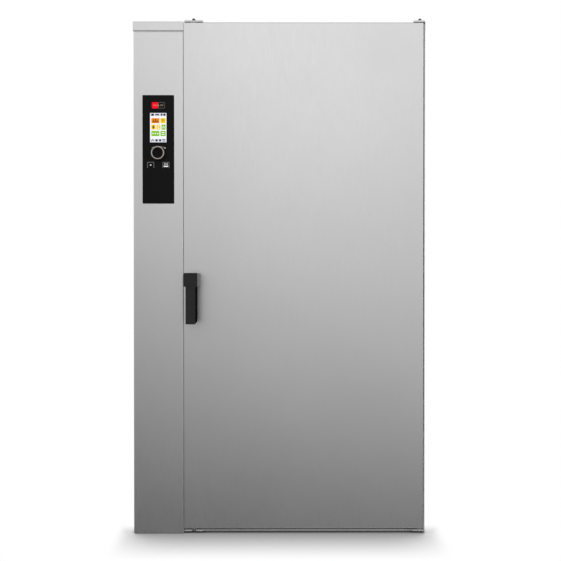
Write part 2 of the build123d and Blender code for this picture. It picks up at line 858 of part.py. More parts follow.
def fan_baffle():
    """The slotted panel in front of the fans, folded at three edges, with holes for its pivots."""
    x0 = baffle_x - baffle_return
    plate = block(x0, baffle_x + sheet, baffle_d0, baffle_d1, baffle_z0, baffle_z1)
    space = block(x0 - 1, baffle_x, baffle_d0 + sheet, baffle_d1 + 1, baffle_z0 + sheet, baffle_z1 - sheet)
    near, far = baffle_d0 - 1, baffle_d0 + sheet + 1
    front_cut = block(x0 - 1, baffle_x - front_fold, near, far, baffle_z0 - 1, baffle_z1 + 1)
    baffle = plate - space - front_cut
    baffle = baffle - joined([intake_slots(z) for z in fan_levels])
    h = pivot_r + pin_fit
    return baffle - block(pivot_x - h, pivot_x + h, pivot_d - h, pivot_d + h, baffle_z0 - 1, baffle_z1 + 1)


def baffle_mounts():
    """Two arms with pivot pins at the rear edge, and two rests at the front edge."""
    mounts = []
    bottom = (baffle_z0 - baffle_play, baffle_z0 - 1, baffle_z0 + pin_hold)
    top = (baffle_z1 + baffle_lift + arm_t, baffle_z1 - pin_hold, baffle_z1 + baffle_lift + 1)
    near, far = pivot_d - arm_half, pivot_d + arm_half
    for seat, pin_low, pin_high in (bottom, top):
        arm = block(room_x0, pivot_x + 9, near, far, seat - arm_t, seat)
        foot = block(room_x0, room_x0 + arm_t, near, far, seat - 5 * arm_t, seat + 4 * arm_t)
        mounts.append(arm + foot + round_z(pivot_x, pivot_d, pin_low, pin_high, pivot_r))
    rest_d = baffle_d0 + 20
    for z in fan_levels:
        post = square_hole(rest_d, z, room_x0, baffle_x - baffle_play, rest_half)
        mounts.append(post + square_hole(rest_d, z, room_x0, room_x0 + rest_plate_t, rest_plate_half))
    return Compound(children=mounts)


def lamp_box(x0, x1, z, out):
    """A box with the lamp's outline, grown on all four sides."""
    w, h = lamp_w / 2 + out, lamp_h / 2 + out
    return block(x0, x1, lamp_d - w, lamp_d + w, z - h, z + h)


def lamp_housings():
    """Lamp boxes let into the right wall, with their frames and light strips."""
    lamps = []
    x0, x1 = room_x1 - lamp_proud, room_x1 + lamp_depth
    seat = room_x1 + lamp_wall
    for z in lamp_levels:
        box = lamp_box(x0, x1, z, 0) + lamp_box(x0, room_x1, z, lamp_frame)
        box = box - lamp_box(seat, x1 - lamp_wall, z, -2 * lamp_wall)
        box = box - lamp_box(x0 - 1, seat, z, lamp_play - lamp_wall)
        reach = lamp_h / 2 - 2 * lamp_wall
        strip = block(x1 - 3 * lamp_wall, x1, lamp_d - strip_half, lamp_d + strip_half, z - reach, z + reach)
        lamps.append(box + strip)
    return Compound(children=lamps)


def lamp_glasses():
    """Flat panes that close the lamp boxes."""
    x0, x1 = room_x1 - lamp_proud, room_x1 + lamp_wall
    return Compound(children=[lamp_box(x0, x1, z, -lamp_wall) for z in lamp_levels])


def elbow(x, d, z):
    """Small square fitting where two pipes meet."""
    h = fitting / 2
    return block(x - h, x + h, d - h, d + h, z - h, z + h)


def water_pipe():
    """Riser in the column with a branch and nozzle to the middle of each wheel."""
    n = tube_sides
    pieces = [elbow(riser_x, room_mid, water_z)]
    pieces.append(prism_z(riser_x, room_mid, water_z, fan_levels[-1] + spray_rise, tube_r, n))
    for z in fan_levels:
        over = z + spray_rise
        pieces += [elbow(riser_x, room_mid, over), elbow(spray_x, room_mid, over)]
        pieces.append(prism_x(room_mid, over, riser_x, spray_x, tube_r, n))
        pieces.append(prism_z(spray_x, room_mid, z + nozzle_high - 2, over, tube_r, n))
        pieces.append(prism_z(spray_x, room_mid, z + nozzle_low, z + nozzle_high, nozzle / 2, 6))
    pieces.append(prism_y(riser_x, water_z, room_mid, body_d - valve_out, tube_r, n))
    return joined(pieces)


def solenoid_valve():
    """Water inlet with its threaded stub on a hexagonal neck, lock nut, valve body and coil."""
    x, z = riser_x, water_z
    near = body_d - valve_out
    stub = round_y(x, z, body_d + 1, body_d + inlet_len + 1, inlet_r)
    shank = prism_y(x, z, near + valve_len - 2, body_d + 1, neck / 2, 6)
    nut = prism_y(x, z, back_d - neck_nut_t, back_d, neck_nut / 2, 6)
    body = block(x - valve_half, x + valve_half, near, near + valve_len, z - valve_half_h, z + valve_half_h)
    coil_d0, coil_d1 = near + coil_in, near + valve_len - coil_in
    coil = block(x - coil_half, x + coil_half, coil_d0, coil_d1, z + valve_half_h, z + coil_up)
    valve = stub + shank + nut + body + coil
    return valve - prism_y(x, z, body_d - inlet_len, body_d + inlet_len + 2, inlet_bore_r, 8)


def drain_outlet():
    """Square drain duct through the insulation, and its round stub with a collar on the rear panel."""
    face = body_d + drain_collar_t
    duct = square_pipe(drain_x, drain_z, room_d1 + liner, body_d, drain_duct)
    collar = square_pipe(drain_x, drain_z, body_d, face, drain_r + drain_collar)
    stub = round_y(drain_x, drain_z, face, body_d + rear_out, drain_r)
    inner = square_pipe(drain_x, drain_z, room_d1, face, drain_duct - pipe_wall)
    bore = prism_y(drain_x, drain_z, body_d + 1, body_d + rear_out + 1, drain_r - pipe_wall, drain_sides)
    return duct + collar + stub - inner - bore


def riser_box(z0, z1, out):
    """The vent riser's square outline, grown on all four sides."""
    h = vent_r + out
    return block(column_mid - h, column_mid + h, vent_d - h, vent_d + h, z0, z1)


def vent_pipe():
    """Square duct from the chamber up to the roof, its collar, and the round stub above."""
    r = vent_r - pipe_wall
    x0, x1 = column_mid - vent_r, room_x0 - liner
    low, high = vent_z - vent_r, vent_z + vent_r
    duct = block(x0, x1, vent_d - vent_r, vent_d + vent_r, low, high) + riser_box(low, body_h, 0)
    c = vent_collar
    collar = block(column_mid - c, column_mid + c, vent_d - c, vent_d + c, body_h, body_h + collar_t)
    stub = round_z(column_mid, vent_d, body_h + collar_t, body_h + vent_up, vent_r)
    inner = block(x0 + pipe_wall, x1 + 1, vent_d - r, vent_d + r, low + pipe_wall, high - pipe_wall)
    inner = inner + riser_box(low + pipe_wall, body_h - sheet, -pipe_wall)
    bore = round_z(column_mid, vent_d, body_h - 2 * sheet, body_h + vent_up + 1, r)
    pipe = duct + collar + stub - inner - bore
    axle = axle_r + pin_fit
    return pipe - square_hole(vent_d, flap_z, column_mid - vent_r - 1, column_mid + vent_r + 1, axle)


def vent_flap():
    """Square flap on its axle, closed at rest."""
    blade = riser_box(flap_z - flap_t / 2, flap_z + flap_t / 2, -pipe_wall - flap_play)
    return blade + round_x(vent_d, flap_z, -panel_x + axle_from, column_mid + vent_r + axle_past, axle_r)


def vent_actuator():
    """Geared motor on the side panel that turns the flap's axle."""
    d0, d1 = vent_d - actuator_half, vent_d + actuator_half
    z0, z1 = flap_z - actuator_half_h, flap_z + actuator_half_h
    box = block(-panel_x, -panel_x + actuator_t, d0, d1, z0, z1)
    socket = -panel_x + axle_from - 2
    return box - square_hole(vent_d, flap_z, socket, -panel_x + actuator_t + 1, axle_r + pin_fit)


def chamber_probe():
    """Temperature probe through the left wall, with its head on the partition."""
    x0 = column_x - sheet - probe_head_len
    rod = prism_x(probe_d, probe_z, x0, room_x0 + probe_out, probe_r, tube_sides)
    return rod + prism_x(probe_d, probe_z, x0, column_x - sheet, probe_head / 2, 6)


def door_switch():
    """Reed switch on the front frame beside the gasket."""
    x0 = column_x + switch_in
    return block(x0, x0 + switch_w, frame_d - switch_t, frame_d, switch_z, switch_z + switch_h)


def control_glass():
    """Dark glass of the control panel, with the knob's stem hole."""
    w = glass_w / 2
    glass = rounded_y(
        column_mid - w, column_mid + w, -glass_proud, glass_back, glass_z0, glass_z1, glass_corner
    )
    return glass - round_y(column_mid, knob_z, -5, 5, stem_r + 2)


def glass_carrier():
    """Plastic frame behind the column's front panel that holds the glass."""
    w, h = glass_w / 2 + carrier_edge, carrier_edge
    far = glass_back + carrier_t
    frame = block(column_mid - w, column_mid + w, sheet, far, glass_z0 - h, glass_z1 + h)
    w, h = glass_w / 2 + glass_play, glass_play
    frame = frame - block(column_mid - w, column_mid + w, 0, glass_back, glass_z0 - h, glass_z1 + h)
    w = screen_w / 2 + window_play
    window_z0, window_z1 = screen_z1 - screen_h - window_play, screen_z1 + window_play
    frame = frame - block(column_mid - w, column_mid + w, 0, far + 1, window_z0, window_z1)
    return frame - square_pipe(column_mid, knob_z, 0, far + 1, encoder_half + encoder_play)


def display_module():
    """Liquid-crystal panel bonded to the back of the glass, with its flat tail."""
    w = screen_w / 2 + module_edge
    low, high = screen_z1 - screen_h - module_edge, screen_z1 + module_edge
    back = glass_back + module_t
    panel = block(column_mid - w, column_mid + w, glass_back, back, low, high)
    x0, x1 = column_mid - tail_half, column_mid + tail_half
    return panel + block(x0, x1, back, back + 1, low + tail_up, low + tail_up + tail_h)


def control_board():
    """Circuit board on posts, with its encoder, chips and connectors."""
    face = glass_back + board_back
    back = face + board_t
    w = glass_w / 2 - board_edge
    pieces = [block(column_mid - w, column_mid + w, face, back, glass_z0 + board_end, glass_z1 - board_end)]
    h = post_half
    for x in (column_mid - w + post_in, column_mid + w - post_in):
        for z in (glass_z0 + post_up, glass_z1 - post_up):
            pieces.append(block(x - h, x + h, glass_back + carrier_t, face, z - h, z + h))
    chip_x0, plug_x0 = column_mid + chip_x, column_mid + plug_x
    for i in range(chip_rows):
        z = glass_z0 + chip_up + chip_pitch * i
        pieces.append(block(chip_x0, chip_x0 + chip, back, back + chip_t, z, z + chip))
        pieces.append(block(plug_x0, plug_x0 + plug_w, back, back + plug_t, z, z + plug_h))
    pieces.append(square_pipe(column_mid, knob_z, glass_back + 0.5, face, encoder_half))
    return joined(pieces) - square_pipe(column_mid, knob_z, glass_back, face - 0.5, stem_r + pin_fit)


def encoder_shaft():
    """The encoder's stem: it slides in when the knob is pressed, and the knob turns round it."""
    near = -glass_proud - knob_lift - knob_len + stem_hold
    far = glass_back + stem_end - push_travel - stem_air
    return round_y(column_mid, knob_z, near, far, stem_r)


def knob_core():
    """Dark body of the knob, set back in its ring, with a bore for the stem."""
    near, far = -glass_proud - knob_lift - knob_len, -glass_proud - knob_lift
    body = prism_y(column_mid, knob_z, near + knob_recess, far, knob_core_r, knob_sides)
    return body - round_y(column_mid, knob_z, near + stem_hold, far + 1, stem_r + pin_fit)


def knob_ring():
    """Bright metal ring round the knob's body, with fine flats for the fingers."""
    near, far = -glass_proud - knob_lift - knob_len, -glass_proud - knob_lift
    ring = prism_y(column_mid, knob_z, near, far - ring_back, knob_r, knob_sides)
    return ring - prism_y(column_mid, knob_z, near - 1, far, knob_core_r + pin_fit, knob_sides)


def electrics_tray():
    """Folded tray on the partition that carries the power parts."""
    x1 = column_x - sheet
    z0, z1 = floor_z + tray_low, floor_z + tray_high
    outer = block(tray_x, x1, tray_d0, tray_d1, z0, z1)
    return outer - block(tray_x + sheet, x1 + 1, tray_d0 + sheet, tray_d1 - sheet, z0 - 1, z1 + 1)


def power_board():
    """Power circuit board on posts, with relays, a transformer and a capacitor."""
    back = tray_x - part_stand
    face = back - board_t
    d0, d1 = tray_d0 + power_edge, tray_d1 - power_edge
    low = floor_z + power_low
    high = low + power_h
    pieces = [block(face, back, d0, d1, low, high)]
    for d in (d0 + power_post_in, d1 - power_post_in):
        for z in (low + power_post_in, high - power_post_in):
            pieces.append(square_hole(d, z, back, tray_x, post_half))
    for i in range(relays):
        d, z = d0 + relay_in + relay_pitch * i, low + relay_up
        pieces.append(block(back - relay_t, face, d, d + relay_w, z, z + relay_h))
    d, z = d0 + transformer_in, low + transformer_up
    pieces.append(block(back - transformer_t, face, d, d + transformer_w, z, z + transformer_h))
    d, z = d0 + capacitor_in, low + capacitor_up
    pieces.append(block(back - capacitor_t, face, d, d + capacitor, z, z + capacitor))
    return joined(pieces)


def rail_devices():
    """Three contactors and the mains terminal block on one mounting rail."""
    low = floor_z + rail_low
    face = tray_x - part_stand
    devices = [block(face, tray_x, tray_d0 + rail_edge, tray_d1 - rail_edge, low, low + rail_h)]
    z0, z1 = low - contactor_low, low + contactor_high
    for i in range(contactors):
        d = tray_d0 + contactor_in + contactor_pitch * i
        front = face - contactor_t
        body = block(front, face, d, d + contactor_w, z0, z1)
        near, far = d + head_in, d + contactor_w - head_in
        head = block(front - head_t, front, near, far, z0 + head_step, z1 - head_step)
        devices.append(body + head)
    d, front = tray_d0 + terminals_in, face - terminals_t
    terminals = block(front, face, d, d + terminals_w, low - terminals_low, low + terminals_high)
    slot_z0, slot_z1 = low - terminals_low - 1, low - terminals_low + terminal_slot_h
    for i in range(terminal_slots):
        at = d + terminal_slot + terminal_slot_pitch * i
        slot = block(front - 1, front + terminal_slot_depth, at, at + terminal_slot, slot_z0, slot_z1)
        terminals = terminals - slot
    return Compound(children=devices + [terminals])


def cable_gland():
    """Mains cable gland in the service cover: neck, cap, lock nut and bore."""
    inside, outside = back_d - gland_inside, body_d + gland_outside
    neck_part = prism_y(column_mid, gland_z, inside, body_d, gland_neck / 2, 6)
    cap = prism_y(column_mid, gland_z, body_d, outside, gland_across / 2, 6)
    nut = prism_y(column_mid, gland_z, back_d - gland_nut_t, back_d, gland_across / 2, 6)
    return neck_part + cap + nut - round_y(column_mid, gland_z, inside - 1, outside + 1, gland_bore_r)


def cooling_fan_housing():
    """Square frame of the electronics fan, with its struts and motor cup."""
    d0, d1 = back_d - cooler_depth, back_d
    frame = square_pipe(column_mid, cooler_z, d0, d1, cooler_half)
    frame = frame - prism_y(column_mid, cooler_z, d0 - 1, d1 + 1, cooler_r, cooler_sides)
    cup = square_pipe(column_mid, cooler_z, d0, d0 + cup_depth, cup_half)
    reach = cooler_r + 2
    x, z = column_mid, cooler_z
    across = block(x - reach, x + reach, d0, d0 + strut, z - strut, z + strut)
    upright = block(x - strut, x + strut, d0, d0 + strut, z - reach, z + reach)
    whole = frame + cup + across + upright
    return whole - round_y(column_mid, cooler_z, d0 - 1, d0 + cup_depth + 1, cooler_axle_r + pin_fit)


def cooling_fan_rotor():
    """Seven pitched blades on a seven-sided hub, on a thin axle in the motor cup."""
    d0 = back_d - cooler_depth
    near, far = d0 + cup_depth + rotor_front, back_d - rotor_back
    hub = prism_y(column_mid, cooler_z, near, far, cooler_hub_r, cooler_blades)
    hub = hub + round_y(column_mid, cooler_z, d0 + 1, near + 1, cooler_axle_r)
    span = cooler_r - cooler_tip_play - cooler_hub_r
    blade = Rot(0, blade_pitch, 0) * Box(cooler_chord, span, cooler_blade_t)
    blade = Pos(0, -cooler_hub_r - span / 2 + 1, 0) * blade
    middle = Pos(column_mid, front_y + (near + far) / 2, cooler_z) * Rot(90, 0, 0)
    turns = [360 * i / cooler_blades for i in range(cooler_blades)]
    return joined([hub] + [middle * Rot(0, 0, turn) * blade for turn in turns])


def corner_plate(x0, x1, d1, z):
    """One flat plate over or under the door, its front corners cut."""
    plate = block(x0, x1, plate_front, d1, z, z + plate_t)
    corners = edges_at(plate, Axis.Y, front_y + plate_front, Axis.Z)
    return chamfer(corners, plate_corner)


def hinge_plates():
    """Plates at the top and bottom right that hold the pivot pins."""
    x1 = half_w + sheet
    top = corner_plate(x1 - hinge_plate_w, x1, frame_d + plate_on_roof, body_h)
    x1 = panel_x
    low = corner_plate(x1 - hinge_plate_w, x1, frame_d, foot_h)
    hole = round_z(hinge_x, pin_depth, 0, body_h + 20, pin_r + 0.02)
    return Compound(children=[top - hole, low - hole])


def keeper_plates():
    """Plates at the top and bottom left whose notches take the latch rods."""
    x0, x1 = latch_x - keeper_w / 2, latch_x + keeper_w / 2
    r = pin_r + keeper_play
    notch = block(latch_x - r, latch_x + r, 0, pin_depth + r, 0, body_h + 20)
    top = corner_plate(x0, x1, frame_d + plate_on_roof, body_h)
    low = corner_plate(x0, x1, frame_d, foot_h)
    return Compound(children=[top - notch, low - notch])


def pivot_pin(z_tip, z_inside):
    """A pivot pin from inside the door to its bevelled tip beyond the plate."""
    pin = round_z(hinge_x, pin_depth, min(z_tip, z_inside), max(z_tip, z_inside), pin_r)
    crown = pin.edges().sort_by(Axis.Z)[-1 if z_tip > z_inside else 0]
    return chamfer([crown], tip_bevel)


def hinge_pins():
    """The door's two pivot pins, held in the corner plates."""
    top = pivot_pin(body_h + plate_t + cap_h, door_z1 - pin_reach)
    low = pivot_pin(sill_lift + tip_rest, door_low + pin_reach)
    return Compound(children=[top, low])


def bush_hole(x, z_face):
    """Cutter for a bush's square hole in the edge of the door's skin."""
    h = bush_half + bush_fit
    return block(x - h, x + h, pin_depth - h, pin_depth + h, z_face - 5, z_face + 5)


def door_outer_skin():
    """The door's face and edges, folded from one sheet."""
    pan = front_pan(door_x0, door_x1, door_low, door_z1, door_t - sheet)
    for x in (latch_x, hinge_x):
        pan = pan - bush_hole(x, door_low) - bush_hole(x, door_z1)
    return pan - square_pipe(latch_x, handle_z, -1, 5, hub_r + 1)


def field_box(extra, d0, d1):
    """The pressed field of the door's inner panel, inside the gasket."""
    inset = field_inset - extra
    x0, x1, z0, z1 = room_x0 + inset, room_x1 - inset, floor_z + inset, room_z1 - inset
    return rounded_y(x0, x1, d0, d1, z0, z1, field_r + extra)


def door_inner_panel():
    """The door's back sheet, with a large field pressed in."""
    plate = block(door_x0, door_x1, door_t - sheet, door_t, door_low, door_z1)
    tub = field_box(sheet, door_t - field_recess - sheet, door_t)
    return plate + tub - field_box(0, door_t - field_recess, door_t + 1)


def door_insulation():
    """Board inside the door, with a channel for the latch and pockets for the pivots."""
    x0, x1 = door_x0 + sheet, door_x1 - sheet
    z0, z1 = door_low + sheet, door_z1 - sheet
    slab = block(x0, x1, sheet, door_t - sheet, z0, z1)
    face = edges_at(slab, Axis.Y, front_y + sheet, Axis.X) + edges_at(slab, Axis.Y, front_y + sheet, Axis.Z)
    slab = chamfer(face, bend)
    channel = case_half_w + channel_play
    slab = slab - block(x0 - 1, latch_x + channel, 0, case_depth + case_guide_play, z0 - 1, z1 + 1)
    slab = slab - field_box(sheet + 0.1, door_t - field_recess - sheet, door_t)
    h = bush_half + channel_play
    reach = pin_reach + pocket_over
    for low, high in ((z0 - 1, z0 + reach), (z1 - reach, z1 + 1)):
        slab = slab - block(hinge_x - h, hinge_x + h, pin_depth - h, pin_depth + h, low, high)
    return slab


def square_bush(x, z_outer, z_inner):
    """A square bush in the door's edge with a round bore."""
    low, high = min(z_outer, z_inner), max(z_outer, z_inner)
    h = bush_half
    bush = block(x - h, x + h, pin_depth - h, pin_depth + h, low, high)
    return bush - round_z(x, pin_depth, low - 1, high + 1, pin_r + pin_fit)


def rod_guide(z_outer, z_inner):
    """A square guide for a latch rod, open right through."""
    low, high = min(z_outer, z_inner), max(z_outer, z_inner)
    h, r = bush_half, pin_r + pin_fit
    guide = block(latch_x - h, latch_x + h, pin_depth - h, pin_depth + h, low, high)
    return guide - block(latch_x - r, latch_x + r, pin_depth - r, pin_depth + r, low - 1, high + 1)


def door_bushes():
    """Pivot bushes at the right and rod guides at the left; the low pivot bush carries the door."""
    top, low = door_z1 + bush_out, door_low - bush_out
    seat = foot_h + plate_t + door_seat
    return Compound(children=[
        square_bush(hinge_x, top, door_z1 - pin_reach),
        square_bush(hinge_x, seat, door_low + pin_reach),
        rod_guide(top, door_z1 - guide_len),
        rod_guide(low, door_low + guide_len),
    ])


def handle_rosette():
    """Square plate on the door's face that carries the handle's hub."""
    plate = square_pipe(latch_x, handle_z, -rosette_t, 0, rosette / 2)
    return plate - round_y(latch_x, handle_z, -rosette_t - 1, 1, hub_r + pin_fit)


def latch_case():
    """Pressed case behind the skin: rods pass its ends, guides back the racks."""
    x0, x1 = latch_x - case_half_w, latch_x + case_half_w
    z0, z1 = handle_z - case_half_h, handle_z + case_half_h
    case = block(x0, x1, sheet, case_depth, z0, z1)
    case = case - block(x0 + sheet, x1 - sheet, 0, case_depth - sheet, z0 + sheet, z1 - sheet)
    reach = pitch_r + gear_dedendum + rack_back
    for side in (-1, 1):
        near, far = reach + case_guide_play, case_half_w - sheet / 2
        ends = sorted((latch_x + side * near, latch_x + side * far))
        z_low, z_high = handle_z - case_guide_half, handle_z + case_guide_half
        case = case + block(*ends, case_guide_near, case_guide_far, z_low, z_high)
    h = pin_r + rod_play
    case = case - block(latch_x - h, latch_x + h, pin_depth - h, pin_depth + h, z0 - 1, z1 + 1)
    return case - round_y(latch_x, handle_z, 10, case_depth + 1, hub_r + pin_fit)


def gear_outline():
    """Involute pinion, its teeth thinned for running play."""
    pressure = math.radians(pressure_angle)
    base = pitch_r * math.cos(pressure)
    tip, root = pitch_r + gear_addendum, pitch_r - gear_dedendum
    half_pitch = math.pi / (2 * gear_teeth) - gear_backlash / (2 * pitch_r)
    start = half_pitch + math.tan(pressure) - pressure

    def flank(r):
        roll = math.sqrt(max((r / base) ** 2 - 1, 0))
        return start - (roll - math.atan(roll))

    radii = [pitch_r, tip]
    points = []
    for i in range(gear_teeth):
        mid = 2 * math.pi * i / gear_teeth
        right = [(root, -flank(base))] + [(r, -flank(r)) for r in radii]
        left = [(r, flank(r)) for r in reversed(radii)] + [(root, flank(base))]
        points += [(r * math.cos(mid + a), r * math.sin(mid + a)) for r, a in right + left]
    return make_face(Polyline(points, close=True))


def latch_pinion():
    """Pinion with round journals and the square spindle that the handle turns."""
    place = Pos(latch_x, front_y + pin_depth + gear_t / 2, handle_z) * Rot(90, 0, 0)
    gear = place * extrude(gear_outline(), gear_t)
    journal = round_y(latch_x, handle_z, -rosette_t, case_depth, hub_r)
    s = spindle / 2
    square = block(latch_x - s, latch_x + s, -rosette_t - spindle_reach, 0, handle_z - s, handle_z + s)
    return gear + journal + square


def rack_teeth(side):
    """Straight-flanked teeth that face the pinion, spread over the part that it rolls along."""
    pitch = math.pi * gear_module
    slope = math.tan(math.radians(pressure_angle))
    half = pitch / 4 - gear_backlash / 2
    low = -rack_run if side < 0 else -rack_run - latch_travel
    high = rack_run + latch_travel if side < 0 else rack_run
    teeth = []
    shift = pitch / 2 if gear_teeth % 2 == 0 else 0.0
    first = math.ceil((low - shift) / pitch)
    last = math.floor((high - shift) / pitch)
    for i in range(first, last + 1):
        z = shift + i * pitch
        a, b = half + gear_dedendum * slope, half - gear_addendum * slope
        teeth.append(Polyline([
            (-gear_dedendum - 0.5, z - a), (-gear_dedendum, z - a), (gear_addendum, z - b),
            (gear_addendum, z + b), (-gear_dedendum, z + a), (-gear_dedendum - 0.5, z + a),
        ], close=True))
    return [make_face(tooth) for tooth in teeth], low, high


def latch_rod(side):
    """Rack, cross foot and round rod: side -1 goes up on the left, side 1 goes down on the right."""
    faces, low, high = rack_teeth(side)
    d0 = pin_depth - gear_t / 2
    line_x = latch_x + side * pitch_r
    pieces = []
    for face in faces:
        tooth = Rot(90, 0, 0) * extrude(face, gear_t)
        if side > 0:
            tooth = Rot(0, 0, 180) * tooth
        offset = d0 + gear_t if side < 0 else d0
        pieces.append(Pos(line_x, front_y + offset, handle_z) * tooth)
    back_x = line_x + side * (gear_dedendum + rack_back)
    face_x = line_x + side * gear_dedendum
    out = 1 if side < 0 else -1
    foot = handle_z + out * (pitch_r + gear_addendum + latch_travel + rack_end)
    foot_end = foot + out * rod_foot
    rack_low, rack_high = sorted((handle_z + (low if side < 0 else high) - out * rack_end, foot_end))
    pieces.append(block(*sorted((back_x, face_x)), d0, d0 + gear_t, rack_low, rack_high))
    near_x = latch_x - side * pin_r
    pieces.append(block(*sorted((back_x, near_x)), d0, d0 + gear_t, *sorted((foot, foot_end))))
    tip = body_h + plate_t + cap_h if side < 0 else sill_lift + tip_rest
    rod = round_z(latch_x, pin_depth, min(foot_end, tip), max(foot_end, tip), pin_r)
    crown = rod.edges().sort_by(Axis.Z)[-1 if side < 0 else 0]
    pieces.append(chamfer([crown], tip_bevel))
    return joined(pieces)


def handle_boss():
    """Square cast block of the handle, with the spindle's socket."""
    b = boss / 2
    near, far = -handle_out + grip_plate, -rosette_t - boss_air
    body = rounded_y(latch_x - b, latch_x + b, near, far, handle_z - b, handle_z + b, boss_corner)
    s = spindle / 2 + socket_play
    end = -rosette_t - spindle_reach - 1
    return body - block(latch_x - s, latch_x + s, end, 0, handle_z - s, handle_z + s)


def handle_grip():
    """Dark cover of the block and the lever that hangs from it."""
    b, w = boss / 2, grip_w / 2
    near, far = -handle_out, -handle_out + grip_plate
    low = handle_z - b
    cover = rounded_y(latch_x - b, latch_x + b, near, far, low, handle_z + b, boss_corner)
    arm = block(latch_x - w, latch_x + w, near, -grip_back, grip_low, low)
    arm = fillet(arm.edges().filter_by(Axis.Z), grip_corner)
    arm = chamfer(arm.faces().sort_by(Axis.Z)[0].edges(), grip_bevel)
    w = w - neck_in
    return cover + arm + block(latch_x - w, latch_x + w, near, far, low - neck_down, handle_z)


def main():
    os.makedirs("parts", exist_ok=True)
    nodes = {
        "base_pan": base_pan(),
        "levelling_feet": levelling_feet(),
        "threshold_strip": threshold_strip(),
        "front_frame": front_frame(),
        "door_gasket": door_gasket(),
        "chamber_liner": chamber_liner(),
        "chamber_insulation": chamber_insulation(),
        "partition_wall": partition_wall(),
        "left_side_panel": left_side_panel(),
        "right_side_panel": right_side_panel(),
        "rear_panel": rear_panel(),
        "service_cover": service_cover(),
        "roof_panel": roof_panel(),
        "column_front_panel": column_front_panel(),
        "trolley_guides": trolley_guides(),
        "fan_motors": fan_motors(),
        "shaft_seals": shaft_seals(),
        "ring_heaters": ring_heaters(),
        "fan_baffle": fan_baffle(),
        "baffle_mounts": baffle_mounts(),
        "lamp_housings": lamp_housings(),
        "lamp_glasses": lamp_glasses(),
        "water_pipe": water_pipe(),
        "solenoid_valve": solenoid_valve(),
        "drain_outlet": drain_outlet(),
        "vent_pipe": vent_pipe(),
        "vent_flap": vent_flap(),
        "vent_actuator": vent_actuator(),
        "chamber_probe": chamber_probe(),
        "door_switch": door_switch(),
        "control_glass": control_glass(),
        "glass_carrier": glass_carrier(),
        "display_module": display_module(),
        "control_board": control_board(),
        "encoder_shaft": encoder_shaft(),
        "knob_core": knob_core(),
        "knob_ring": knob_ring(),
        "electrics_tray": electrics_tray(),
        "power_board": power_board(),
        "rail_devices": rail_devices(),
        "cable_gland": cable_gland(),
        "cooling_fan_housing": cooling_fan_housing(),
        "cooling_fan_rotor": cooling_fan_rotor(),
        "hinge_plates": hinge_plates(),
        "keeper_plates": keeper_plates(),
        "hinge_pins": hinge_pins(),
        "door_outer_skin": door_outer_skin(),
        "door_inner_panel": door_inner_panel(),
        "door_insulation": door_insulation(),
        "door_bushes": door_bushes(),
        "handle_rosette": handle_rosette(),
        "latch_case": latch_case(),
        "latch_pinion": latch_pinion(),
        "upper_latch_rod": latch_rod(-1),
        "lower_latch_rod": latch_rod(1),
        "handle_boss": handle_boss(),
        "handle_grip": handle_grip(),
    }
    for number, level in enumerate(fan_levels, 1):
        nodes[f"fan_wheel_{number}"] = fan_wheel(level)
    for name, shape in nodes.items():
        export_step(shape, f"parts/{name}.step")
    print(len(nodes), "nodes written")


main()
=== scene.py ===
import json
import math

import bmesh
import bpy
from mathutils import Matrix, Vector


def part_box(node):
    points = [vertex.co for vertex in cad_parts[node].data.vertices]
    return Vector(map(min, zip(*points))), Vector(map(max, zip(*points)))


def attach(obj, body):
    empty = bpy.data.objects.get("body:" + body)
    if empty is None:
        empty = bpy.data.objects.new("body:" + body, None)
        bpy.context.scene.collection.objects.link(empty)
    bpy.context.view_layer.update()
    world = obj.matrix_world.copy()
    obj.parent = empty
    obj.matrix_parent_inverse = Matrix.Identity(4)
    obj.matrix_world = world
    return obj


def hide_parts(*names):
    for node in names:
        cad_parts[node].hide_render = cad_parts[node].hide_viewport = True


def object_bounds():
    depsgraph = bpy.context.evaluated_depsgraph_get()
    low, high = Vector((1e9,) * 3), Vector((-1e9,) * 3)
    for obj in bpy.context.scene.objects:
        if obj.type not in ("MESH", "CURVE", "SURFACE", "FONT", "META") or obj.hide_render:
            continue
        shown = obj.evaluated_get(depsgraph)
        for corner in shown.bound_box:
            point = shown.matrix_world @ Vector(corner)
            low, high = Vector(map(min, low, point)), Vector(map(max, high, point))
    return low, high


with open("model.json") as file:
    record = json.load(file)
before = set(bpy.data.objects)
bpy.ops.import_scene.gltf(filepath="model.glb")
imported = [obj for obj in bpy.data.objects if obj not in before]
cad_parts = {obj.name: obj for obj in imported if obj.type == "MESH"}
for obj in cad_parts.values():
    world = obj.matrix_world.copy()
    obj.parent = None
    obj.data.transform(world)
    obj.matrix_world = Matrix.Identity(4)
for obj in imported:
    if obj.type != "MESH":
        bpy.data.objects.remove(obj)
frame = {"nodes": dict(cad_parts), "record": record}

# Looks of the regeneration oven. Metres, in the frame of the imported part: +Z up, the front faces -Y.

cad_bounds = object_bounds()

MM = 0.001

# Camera, opposite the middle of the front
camera_place = (0.0, -2.978, 0.9738)
camera_pitch = -0.5  # degrees, looking slightly down
camera_yaw = -0.105
camera_lens = 42.8
camera_sensor = 36.0

